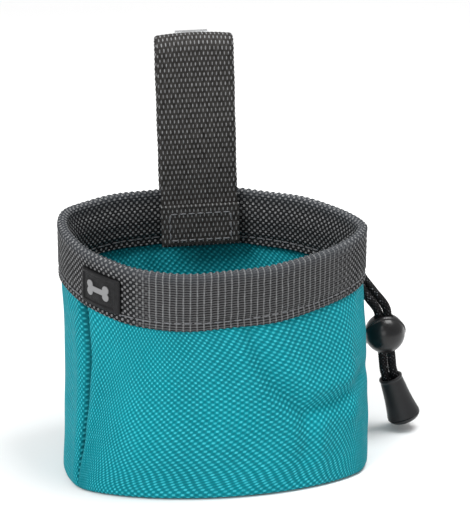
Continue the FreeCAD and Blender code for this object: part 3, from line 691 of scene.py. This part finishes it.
def seam_angle(share, first, last):
    """Direction angle at which the wall meets the side seams' plane, between two angles."""
    angle = np.linspace(math.radians(first), math.radians(last), 300)
    found = []
    for h in share:
        p = wall(angle, np.full(angle.shape, h), 0.0)
        off = p[:, 1] - SEAM_CENTRE - p[:, 0] * math.tan(SEAM_TURN) - p[:, 2] * SEAM_RISE
        if off[0] > off[-1]:
            off = -off
        found.append(np.interp(0.0, off, angle))
    found = np.array(found)
    if first > 90:
        # The left seam bows forward and turns back at the base. The front panel's right edge is looked for
        # a turn later and moves by as much, so it laps over the back panel there.
        found = found + SEAM_BOW * np.sin(math.pi * share) - SEAM_RETURN * bump_at(share, 0, 0.1)
    return found


def panel(name, node, first_seam, last_seam, seed, folds):
    """One panel of the sack between the two side seams, as a closed sheet."""
    columns = int(PERIMETER / 2 / PANEL_STEP)
    rows = int(PANEL_TALL / PANEL_STEP)
    even = np.linspace(0, 1, columns + 1)
    across = 0.5 * even + 0.25 * (1 - np.cos(math.pi * even))
    share = np.linspace(0, 1, rows + 1)
    start = seam_angle(share, *first_seam)
    stop = seam_angle(share, *last_seam)
    e, h = np.meshgrid(across, share, indexing="ij")
    a = start * (1 - e) + stop * e
    width = PERIMETER / 2
    outer = wall(a, h, 0.0)
    x, z = outer[..., 0], outer[..., 2]
    body = np.sin(np.clip(h, 0, 1) * math.pi) ** 0.6
    move = ripples(x, z, seed, 34.0, 0.32) + ripples(x, z, seed + 1, 15.0, 0.13)
    for line, spread, depth in folds:
        move = move + near_line(x, z, line, spread) * depth * FOLD_STRENGTH
    move = move * body
    # the seams are pulled in between two swells, with near-black painted shade at their bottom
    edge = np.minimum(e * width, (1 - e) * width)
    above_base = np.clip(h * 8, 0, 1)
    valley = bump_at(edge, 0, VALLEY_WIDTH) * above_base
    swell = bump_at(edge, SWELL_AT, SWELL_WIDTH) * body
    move = move - VALLEY_DEPTH * valley + SWELL_HIGH * swell
    crease = bump_at(edge, 0, CREASE_SHADE_WIDTH) * above_base
    # puckers under the band's seam
    u_mm = rim_length(a)
    puckers = np.cos(u_mm * TAU / PUCKER_PITCH + np.sin(u_mm / 9.0) * 1.5)
    from_band = (1 - h) * PANEL_TALL
    move = move + PUCKER_HIGH * puckers * bump_at(from_band, 0, 7.0) * (1 - bump_at(from_band, 0, 1.5))
    # soft lower corner
    floor_drop = BASE_HEIGHT * bump_at(h * 53, 0, 2.5)
    below = np.clip(1 - (z - floor_drop) / LOWER_CORNER, 0, 1)
    inset = LOWER_CORNER * (1 - np.sqrt(np.clip(1 - below**2, 0, 1))) * 0.85
    normal = np.stack([np.cos(a), np.sin(a), np.zeros_like(a)], axis=-1)
    outer = outer + normal * (move - inset)[..., None]
    outer[..., 2] = outer[..., 2] - floor_drop
    inner = outer - normal * (FABRIC * (1 - 0.35 * below))[..., None]
    inner[..., 2] = inner[..., 2] + FABRIC * 0.75 * below
    faces_of_sheet = []
    for surface, foot_height, out in ((outer, 0.03, 0.0), (inner, 0.75, -FABRIC)):
        # the edge that is turned under the base, and the part inside the band
        turned = []
        for inward in (3.0, 1.5):
            row = surface[:, :1] - normal[:, :1] * inward
            row[..., 2] = foot_height
            turned.append(row)
        collar = outline(RIM, a[:, -1], out)
        tucked = [rim_place(collar, BAND_FOOT + up)[:, None] for up in (0.8, 1.6)]
        faces_of_sheet.append(np.concatenate(turned + [surface] + tucked, axis=1))
    outer_all, inner_all = faces_of_sheet
    rise = distances(outer_all.mean(axis=0))
    sheet = capped_ring(
        np.concatenate([outer_all, inner_all[:, ::-1]], axis=1),
        across * width, np.concatenate([rise, rise[::-1], rise[:1]]),
    )
    ends = np.zeros((columns + 1, 2))
    # painted shade: rows along each seam's crease on the outer face, near black in the material
    painted_shade = np.concatenate([ends, crease, ends, ends, np.zeros_like(crease), ends], axis=1)
    piece(name, *sheet, OXFORD, "pouch", "teal_cloth", (node,), {"crease": painted_shade.ravel()})


panel("cloth_front", "front_panel", LEFT_SEAM, RIGHT_SEAM_AFTER_A_TURN, 11, FRONT_FOLDS)
panel("cloth_back", "back_panel", RIGHT_SEAM, LEFT_SEAM, 23, BACK_FOLDS)

# ---------------- base

BASE_INSET = -2.7
BASE_PLY = np.array([0, 0, 0.7])
angle = np.linspace(0, TAU, 361)[:-1]
fractions = np.linspace(0.02, 1, 60)
edge = outline(BASE, angle, BASE_INSET)
middle = edge.mean(axis=0)
flat = middle + (edge[:, None] - middle) * fractions[:, None]
sag = 0.25 + ripples(flat[..., 0], flat[..., 1], 5, 30, 0.12)
sag = sag * (1 - fractions**4)
under = np.concatenate([flat, 0.05 + np.clip(sag, 0, 0.5)[..., None]], axis=-1)
disc = np.concatenate([under, (under + BASE_PLY)[:, ::-1]], axis=1)
columns, n = disc.shape[:2]
verts, quads, _ = grid(disc, np.arange(columns + 1), np.arange(n + 1), close_u=True)
# a fan of triangles closes the middle of each face
low_centre = np.array([[*middle, 0.2]])
fans = [[k * n, (k + 1) % columns * n, len(verts)] for k in range(columns)]
fans += [[k * n + n - 1, (k + 1) % columns * n + n - 1, len(verts) + 1] for k in range(columns)]
base_verts = np.concatenate([verts, low_centre, low_centre + BASE_PLY])
corners = np.concatenate([quads.ravel(), np.ravel(fans)])
base_piece = mesh_object("cloth_base", base_verts, quads.tolist() + fans, base_verts[corners, :2], OXFORD)
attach(base_piece, "pouch")
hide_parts("base_panel")

# ---------------- rim band

EXIT_LENGTH = length_towards(40)
CORD_LEVEL = 13.4
FOLD = 1.45
SEAM_HEIGHT = BAND_FOOT + 2.3
LADDER_FROM, LADDER_TO, LADDER_SOFT = 234, 322, 14

# The band's cross-section, (out, up): its outer face upward, over the fold, and down the inner ply.
band_profile = smooth_profile(
    [(-0.4, -17.2), (0.0, -18.0), (0.5, -18.35), (1.0, -18.0), (1.0, -17.0), (1.0, -14.0)]
).tolist()
band_profile += [(PLY, z) for z in np.arange(-13.7, -1.9, 0.36)]
turn = np.linspace(0, math.pi / 2, 8)
band_profile += [(PLY - FOLD + FOLD * math.cos(t), -FOLD + FOLD * math.sin(t)) for t in turn]
band_profile += [(0.8 - FOLD - FOLD * math.sin(t), -FOLD + FOLD * math.cos(t)) for t in turn]
# the inner ply swells round the cord
for z in np.arange(-1.8, -13.9, -0.4):
    share = min(1.0, (-1.8 - z) / 7.5)
    band_profile.append((-2.1 - 1.8 * share * share * (3 - 2 * share), z))
band_profile += smooth_profile([
    (-3.9, -14.2), (-3.7, -15.5), (-3.3, -17.0), (-3.5, -18.0),
    (-3.1, -18.35), (-2.7, -18.0), (-2.4, -17.0), (-1.0, -16.9),
]).tolist()
band_profile = np.array(band_profile)
step_out = np.roll(band_profile, -1, axis=0) - np.roll(band_profile, 1, axis=0)
facing = np.stack([step_out[:, 1], -step_out[:, 0]], axis=1)
facing /= np.linalg.norm(facing, axis=1, keepdims=True) + 1e-9

ribs_around = round(PERIMETER / RIB)
band_columns = ribs_around * 6
s_mm = np.arange(band_columns) * PERIMETER / band_columns
rise = distances(band_profile)
S, R = np.meshgrid(s_mm, rise, indexing="ij")
out, high = (np.tile(values, (band_columns, 1)) for values in band_profile.T)
rib_phase = S * TAU * ribs_around / PERIMETER
at_fold = bump_at(high, 0, 2.4)
outside = (out > -0.7).astype(float)
# the weave shows as a ladder on the front, and as bricks on the rest
degrees_at = np.degrees(rim_angle(S)) % 360
ladder = np.clip((degrees_at - LADDER_FROM) / LADDER_SOFT, 0, 1)
ladder = ladder * np.clip((LADDER_TO - degrees_at) / LADDER_SOFT, 0, 1) * outside
brick = np.cos(rib_phase) * np.cos(R * math.pi / BAND_ROW)
lift = (0.08 * np.cos(rib_phase) + 0.05 * np.cos(R * TAU / RUNG) * (1 - at_fold)) * ladder
lift = lift + 0.11 * brick * (1 - ladder) * (1 - at_fold)
lift = lift + at_fold * (0.20 * np.cos(rib_phase) + 0.05 * np.cos(R * TAU / 1.3))
lift = lift + ripples(S, high, 31, 30.0, 0.16) * (0.4 + 0.6 * outside)
# the seam pulls the band in, and the edge below it flares a little
lift = lift - 0.42 * bump_at(high, SEAM_HEIGHT, 0.9) * (np.abs(out + 1.3) > 1.6)
wavy = ripples(S, 0.0, 37, 19.0, 0.16)
# the buttonhole of the cord
exit_across = (S - EXIT_LENGTH) / 4.2
exit_up = (high + CORD_LEVEL) / 2.0
hole = np.clip(1.35 - np.hypot(np.maximum(np.abs(exit_across) - 0.5, 0) * 2, exit_up), 0, 1) * (out > 0.5)
lift = lift - 2.2 * hole**0.7
out = out + lift * facing[:, 0]
high = high + lift * facing[:, 1] + wavy
band_u = np.arange(band_columns + 1) * (RIB * ribs_around) / band_columns
band_v = distances(np.concatenate([band_profile, band_profile[:1]]))
band_mesh = grid(band_surface(S, high, out), band_u, band_v, close_u=True, close_v=True)
# the attribute at the band's top fold carries a painted highlight
piece(
    "band_webbing", *band_mesh, BAND_CLOTH, "pouch", "grey_webbing", ("rim_band",),
    {"ladder": ladder.ravel(), "fold": at_fold.ravel()},
)

# ---------------- stitches


def stitches(runs, radius=0.24, around=8, rings=9):
    """Short arched threads that dip into the cloth at both ends. Each run is (start, end, outward)."""
    parts = []
    angle = np.arange(around) * TAU / around
    share = np.linspace(0, 1, rings)
    for start, end, outward in runs:
        along = end - start
        length = np.linalg.norm(along)
        along = along / length
        outward = outward - along * outward.dot(along)
        outward /= np.linalg.norm(outward)
        side = np.cross(along, outward)
        arch = np.sin(share * math.pi) ** 0.5 * 0.24 - 0.12
        thick = radius * (0.45 + 0.55 * np.sin(share * math.pi) ** 0.4)
        thick[0] = thick[-1] = 0.02
        centre = start + along * (share * length)[:, None] + outward * arch[:, None]
        ring = side * np.cos(angle)[:, None] + outward * np.sin(angle)[:, None]
        points = centre[:, None] + ring * thick[:, None, None]
        parts.append(grid(points, share * length, np.arange(around + 1) * 0.2, close_v=True))
    return joined(parts)


def thread_piece(name, runs, material, slot, hides=(), radius=0.24):
    piece(name, *stitches(runs, radius), material, "pouch", slot, hides)


def band_outward(length, height):
    return band_surface(length, height, PLY + 5) - band_surface(length, height, PLY)


OUTER_SEAM, INNER_SEAM = PLY - 0.28, -3.28
STITCH, STITCH_GAP = 3.1, 0.25
STRAP_COVER = 27.0
count = round(PERIMETER / STITCH)
pitch = PERIMETER / count
strap_from = length_towards(90) - STRAP_COVER / 2
runs = []
draw = np.random.RandomState(3)
for k in range(count):
    a = k * pitch + STITCH_GAP
    b = (k + 1) * pitch - STITCH_GAP
    middle_at = (a + b) / 2
    shake = draw.uniform(-0.08, 0.08, 4)
    # the belt loop covers the outer row
    if not strap_from < middle_at < strap_from + STRAP_COVER:
        start = band_surface(a, SEAM_HEIGHT + shake[0], OUTER_SEAM)
        end = band_surface(b, SEAM_HEIGHT + shake[1], OUTER_SEAM)
        runs.append((start, end, band_outward(middle_at, SEAM_HEIGHT)))
    start = band_surface(a, SEAM_HEIGHT + shake[2], INNER_SEAM)
    end = band_surface(b, SEAM_HEIGHT + shake[3], INNER_SEAM)
    inward = band_surface(middle_at, SEAM_HEIGHT, -8) - band_surface(middle_at, SEAM_HEIGHT, -3.9)
    runs.append((start, end, inward))
thread_piece("band_thread", runs, GREY_THREAD, "grey_thread", ("band_stitching",))


def around_hole(t, scale):
    """Distance along the band and height of a point round the cord's buttonhole."""
    across = 2.6 * np.sign(math.cos(t)) * abs(math.cos(t)) ** 0.6 + math.cos(t) * 1.7 * scale
    return EXIT_LENGTH + across, -CORD_LEVEL + math.sin(t) * 1.65 * scale


# the buttonhole's binding: close stitches all round the slot
runs = []
for t in np.linspace(0, TAU, 45)[:-1]:
    near, far = around_hole(t, 1.0), around_hole(t, 1.75)
    runs.append((band_surface(*near, PLY - 0.15), band_surface(*far, PLY - 0.05), band_outward(*far)))
thread_piece("cord_exit_binding", runs, DARK_THREAD, "grey_thread", (), 0.30)

# the side seams' inner stitching
runs = []
for first, last in (LEFT_SEAM, RIGHT_SEAM):
    share = np.linspace(0.08, 0.9, 17)
    seam = seam_angle(share, first, last)
    for k in range(len(share) - 1):
        p = wall(seam[k:k + 2], share[k:k + 2], -FABRIC - 1.35)
        inward = -np.array([math.cos(seam[k]), math.sin(seam[k]), 0.0])
        gap = (p[1] - p[0]) * 0.08
        runs.append((p[0] + gap, p[1] - gap, inward))
thread_piece("seam_thread", runs, TEAL_THREAD, "teal_thread", ("side_seam_stitching",))

# ---------------- label

LABEL_AT = length_towards(218)
LABEL_WIDE, LABEL_TALL = 17.0, 11.2
LABEL_MIDDLE = -4.3 - LABEL_TALL / 2
LABEL_CORNER = 1.0
BORDER_X, BORDER_Z = 1.7, 1.2
MOTIF_SHIFT = 0.6
x = np.linspace(-LABEL_WIDE / 2, LABEL_WIDE / 2, 150)
z = np.linspace(-LABEL_TALL / 2, LABEL_TALL / 2, 100)
X, Z = np.meshgrid(x, z, indexing="ij")
# rounded corners: the grid's rim is drawn in at each corner
dx = np.maximum(np.abs(X) - (LABEL_WIDE / 2 - LABEL_CORNER), 0)
dz = np.maximum(np.abs(Z) - (LABEL_TALL / 2 - LABEL_CORNER), 0)
square_norm = np.maximum(dx, dz)
round_norm = np.hypot(dx, dz)
ratio = np.where(round_norm > 1e-6, square_norm / np.maximum(round_norm, 1e-6), 1.0)
X = X - np.sign(X) * dx * (1 - ratio)
Z = Z - np.sign(Z) * dz * (1 - ratio)


def step_up(distance, soft=0.22):
    """0 outside, 1 inside, over a soft edge; distance is positive inside."""
    share = np.clip(distance / soft + 0.5, 0, 1)
    return share * share * (3 - 2 * share)


field_x = X + MOTIF_SHIFT
inside_field = np.minimum(LABEL_WIDE / 2 - BORDER_X - np.abs(field_x), LABEL_TALL / 2 - BORDER_Z - np.abs(Z))
# a bone: a bar with two knobs at each end
bar = np.minimum(3.4 - np.abs(field_x), 0.95 - np.abs(Z))
knobs = -9.0
for i in (-1, 1):
    for j in (-1, 1):
        knobs = np.maximum(knobs, 1.4 - np.hypot(field_x - i * 3.5, Z - j * 1.15))
bone = np.maximum(bar, knobs)
rim_edge = np.minimum(LABEL_WIDE / 2 - np.abs(X), LABEL_TALL / 2 - np.abs(Z))
relief = 0.8 + 0.35 * (1 - step_up(inside_field)) + 0.35 * step_up(bone, 0.3)
relief = relief - 0.3 * (1 - np.clip(rim_edge / 0.45, 0, 1)) ** 2
face = band_surface(LABEL_AT + X, LABEL_MIDDLE + Z, PLY + 0.02 + relief)
back = band_surface(LABEL_AT + X, LABEL_MIDDLE + Z, PLY - 0.1)
label_ring = np.concatenate([face, back[:, ::-1]], axis=1)
label_v = np.concatenate([z, z[::-1], z[:1]])
piece(
    "label_rubber", *capped_ring(label_ring, x, label_v), RUBBER, "pouch", "black_rubber",
    ("label_patch", "label_motif"),
    {"mark": np.concatenate([step_up(bone - 0.05, 0.15), np.zeros(X.shape)], axis=1).ravel()},
)

# ---------------- belt loop

STRAP_WIDE = 25.0
STRAP_THICK = 1.4
STRAP_FRONT, STRAP_REAR, STRAP_TAIL = 39.0, 47.5, 49.3
STRAP_FOOT, STRAP_KNEE, STRAP_TOP = 59.0, 76.7, 128.5
STRAP_SHIFT = -0.7
STRAP_LEAN = math.radians(1.5)
HEM_GAP = 0.78
TOP_CROWN = 0.9
BOX_HALF, BOX_LOW, BOX_HIGH, BOX_STITCH = 10.0, 61.3, 70.3, 2.9


def strap_place(points):
    """From the belt loop's upright frame to the pouch's."""
    c, s = math.cos(STRAP_LEAN), math.sin(STRAP_LEAN)
    x, y, z = points[..., 0], points[..., 1], points[..., 2] - STRAP_KNEE
    return np.stack([STRAP_SHIFT + x * c - z * s, y, STRAP_KNEE + x * s + z * c], axis=-1)


def strap_line():
    """The webbing's middle line as (depth, height): the hem, up the front, over the fold, down the rear."""
    line = [(STRAP_FRONT - 2 * HEM_GAP, 73.0), (STRAP_FRONT - 2 * HEM_GAP, 60.6)]
    for t in np.linspace(math.pi, TAU, 12):
        line.append((STRAP_FRONT - HEM_GAP + HEM_GAP * math.cos(t), 60.2 + HEM_GAP * math.sin(t)))
    line += [(STRAP_FRONT, 61.0), (STRAP_FRONT, STRAP_TOP - 4.4)]
    half = (STRAP_REAR - STRAP_FRONT) / 2
    for t in np.linspace(math.pi, 0, 26):
        line.append((STRAP_FRONT + half + half * math.cos(t), STRAP_TOP - half + half * math.sin(t)))
    line += [(STRAP_REAR, STRAP_TOP - 4.4), (STRAP_REAR, STRAP_KNEE + 2.0)]
    line += [(STRAP_REAR + 0.12, STRAP_KNEE - 0.5), (STRAP_REAR + 0.42, STRAP_KNEE - 3.2)]
    return np.array(line + [(STRAP_TAIL, STRAP_FOOT)])


line = strap_line()
length = distances(line)
s = np.linspace(0, length[-1], int(length[-1] / 0.33))
line = np.stack([np.interp(s, length, line[:, k]) for k in range(2)], axis=1)
for _ in range(2):
    line[1:-1] = (line[:-2] + 2 * line[1:-1] + line[2:]) / 4
way = np.gradient(line, axis=0)
way /= np.linalg.norm(way, axis=1, keepdims=True)
# the face on the left of the way: the pouch's inside for the hem, the outside of the loop above it
left_face = np.stack([-way[:, 1], way[:, 0]], axis=1)
across = np.linspace(-1, 1, 79)
x_mm = across * STRAP_WIDE / 2
round_edge = np.sqrt(np.clip(1 - np.clip((np.abs(x_mm) - (STRAP_WIDE / 2 - 0.7)) / 0.7, 0, 1) ** 2, 0.02, 1))
S, XX = np.meshgrid(s, x_mm, indexing="ij")
weave = np.cos(XX * TAU / STRAP_PITCH) * np.cos(S * math.pi / STRAP_ROW) * 0.08
selvage = 0.10 * np.cos(S * TAU / STRAP_ROW) * bump_at(np.abs(XX), STRAP_WIDE / 2 - 0.3, 0.7)
in_fold = bump_at(line[:, 1:], STRAP_TOP, 6.0)
crown = TOP_CROWN * in_fold * (1 - across**2)
drift = 0.10 * ripples(S, XX, 41, 40, 1.0)
drift = drift * np.clip((S - 20) / 10, 0, 1) * np.clip((s[-1] - S - 25) / 10, 0, 1)
hem_share = np.clip((16 - S) / 3, 0, 1)
wide = 1 + 0.032 * hem_share + 0.004 * np.cos(S * TAU / 17)
half_thick = STRAP_THICK / 2 * round_edge
sides = []
for sign in (1, -1):
    shift = sign * (half_thick + weave) + drift
    y = line[:, :1] + left_face[:, :1] * shift
    z = line[:, 1:] + left_face[:, 1:] * shift + crown - TOP_CROWN * in_fold
    sides.append(strap_place(np.stack([XX * wide + np.sign(XX) * selvage, y, z], axis=-1)))
strap_ring = np.concatenate([sides[0], sides[1][:, ::-1]], axis=1)
strap_u = np.concatenate([x_mm, x_mm[::-1], x_mm[:1]])
verts, faces, uv = capped_ring(strap_ring, s, strap_u)
piece("strap_webbing", verts, faces, uv[..., ::-1], STRAP_CLOTH, "pouch", "grey_webbing", ("strap_loop",))


def box_stitches(depth, slope, side):
    """Rectangle of stitches on one face of the belt loop, which leans back by slope per millimetre down."""
    runs = []
    corners = [(-BOX_HALF, BOX_LOW), (BOX_HALF, BOX_LOW), (BOX_HALF, BOX_HIGH), (-BOX_HALF, BOX_HIGH)]
    for (x0, z0), (x1, z1) in zip(corners, corners[1:] + corners[:1]):
        number = round(math.hypot(x1 - x0, z1 - z0) / BOX_STITCH)
        for k in range(number):
            ends = []
            for t in ((k + 0.1) / number, (k + 0.9) / number):
                height = z0 + (z1 - z0) * t
                place = (x0 + (x1 - x0) * t, depth + slope * (STRAP_KNEE - height), height)
                ends.append(strap_place(np.array(place)))
            runs.append((*ends, np.array([0.0, side, 0.05])))
    return runs


# one box on the hem, and one on the tail behind
rear_slope = (STRAP_TAIL - STRAP_REAR) / (STRAP_KNEE - STRAP_FOOT)
runs = box_stitches(STRAP_FRONT - 2 * HEM_GAP - STRAP_THICK / 2 - 0.02, 0.0, -1.0)
runs += box_stitches(STRAP_REAR + STRAP_THICK / 2 + 0.05, rear_slope, 1.0)
thread_piece("strap_thread", runs, GREY_THREAD, "grey_thread", ("strap_stitching",))

# ---------------- cord end: bell, cap and knot

LOCK_CENTRE = Vector((58.1, 18.0, 33.2))
CORD_LEAN = math.radians(6.5)
BELL_LEAN = math.radians(19.6)


def lean_down(angle):
    return Vector((math.sin(angle), 0, -math.cos(angle)))


bell_mouth = LOCK_CENTRE + lean_down(CORD_LEAN) * 13.5 + lean_down(BELL_LEAN) * 2.0
bell_matrix = Matrix.Translation(bell_mouth) @ Matrix.Rotation(-BELL_LEAN, 4, "Y")


def placed_piece(name, built, matrix, *rest):
    """A piece built about the origin and moved by a matrix."""
    verts, faces, coordinates = built
    return piece(name, np.array([matrix @ Vector(v) for v in verts]), faces, coordinates, *rest)


# Each profile is (radius, height), and the bell's mouth is at 0.
bell_profile = smooth_profile([
    (3.05, -14.3), (3.05, -12.0), (3.05, -1.0), (3.05, -0.35), (3.2, 0.0), (3.5, 0.12), (3.85, 0.0),
    (3.95, -0.35), (3.86, -0.75), (3.74, -0.95), (3.78, -1.4), (4.0, -3.5), (4.32, -7.0), (4.8, -10.5),
    (5.25, -12.9), (5.4, -13.6), (5.47, -13.95), (5.3, -14.2), (4.4, -14.22), (3.2, -14.22), (3.05, -14.3),
])[:-1]
cap_profile = smooth_profile([
    (0, -16.35), (2.0, -16.35), (3.4, -16.3), (4.5, -15.9), (5.2, -15.1), (5.46, -14.6), (5.42, -14.36),
    (5.2, -14.28), (4.2, -14.26), (3.0, -14.26), (2.9, -14.2), (2.9, -12.3), (2.7, -12.2), (0, -12.2),
])
knot_profile = smooth_profile([
    (0, -9.1), (1.6, -9.1), (2.6, -8.6), (2.95, -7.4), (2.6, -6.4), (2.95, -5.4), (2.8, -4.2), (2.0, -3.2),
    (0, -3.0),
])
bell = placed_piece(
    "bell_shell", spun_ring(bell_profile, 80, 0.4, 0.4), bell_matrix, SATIN, "cord_tails", "black_plastic",
    ("cord_end_bell",),
)
cap = placed_piece(
    "bell_cap", spun_solid(cap_profile), bell_matrix, SATIN, "cord_tails", "black_plastic", ("cord_end_cap",)
)
knot = placed_piece(
    "end_knot", spun_solid(knot_profile), bell_matrix, BRAID, "cord_tails", "black_cord", ("drawcord_knot",)
)

# the ball's parting lip, a thin ridge that rises to the front
LIP_TILT = math.radians(-62)
lock_matrix = Matrix.Translation(LOCK_CENTRE) @ Matrix.Rotation(-CORD_LEAN, 4, "Y")
lip_matrix = lock_matrix @ Matrix.Rotation(LIP_TILT, 4, "X")
ridge = smooth_profile(
    [(6.35, -0.55), (6.55, -0.42), (6.92, -0.3), (7.0, 0.0), (6.85, 0.22), (6.55, 0.3), (6.35, 0.4)]
)
placed_piece("lock_lip", spun_ring(ridge, 120, 0.35, 0.1), lip_matrix, GLOSSY, "cord_lock", "black_plastic")

# the coil behind the button, which shortens as the button goes in
COIL_TURNS = 3
COIL_RADIUS = 2.3
COIL_WIRE = 0.2
COIL_FOOT = -5.12
COIL_LENGTH = 2.54
turn = np.linspace(0, COIL_TURNS * TAU, 60 * COIL_TURNS)
wire_angle = np.arange(12) * TAU / 12
coil_out = COIL_RADIUS + COIL_WIRE * np.cos(wire_angle)
coil_points = np.stack([
    coil_out * np.cos(turn)[:, None],
    COIL_FOOT + COIL_LENGTH * (turn / turn[-1])[:, None] + COIL_WIRE * np.sin(wire_angle),
    coil_out * np.sin(turn)[:, None],
], axis=-1)
coil = placed_piece(
    "button_coil", capped_ring(coil_points, turn * COIL_RADIUS, np.arange(13) * 0.1), lock_matrix,
    STEEL, "cord_lock", "spring_steel", ("cord_lock_spring",),
)
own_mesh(coil)

# ---------------- CAD nodes with their own finish

for name, material, bevel in (
    ("belt_clip_plate", STEEL, 0.12), ("belt_clip_arm", STEEL, 0.12), ("clip_rivets", STEEL, 0.15),
    ("cord_lock_body", GLOSSY, 0.12), ("cord_lock_plunger", GLOSSY, 0.2), ("drawcord_loop", BRAID, 0.0),
):
    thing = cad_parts[name]
    thing.data.materials.clear()
    thing.data.materials.append(material)
    if bevel:
        round_off = thing.modifiers.new("soft_edges", "BEVEL")
        round_off.width = bevel * MM
        round_off.segments = 3
        round_off.limit_method = "ANGLE"
        round_off.angle_limit = math.radians(40)

# ---------------- floor

FLOOR_LEVEL = -0.0002
pale = Surface("pale_floor", roughness=0.8)
shade = pale.mix(pale.noise(3.0, 2.0), (0.86, 0.86, 0.86), (0.88, 0.88, 0.88))
floor_mesh = bpy.data.meshes.new("floor")
floor_corners = [(x, y, FLOOR_LEVEL) for x, y in ((-4, -4), (4, -4), (4, 4), (-4, 4))]
floor_mesh.from_pydata(floor_corners, [], [(0, 1, 2, 3)])
floor_mesh.materials.append(pale.finish(shade))
floor = new_object("floor", floor_mesh)

bpy.context.view_layer.update()
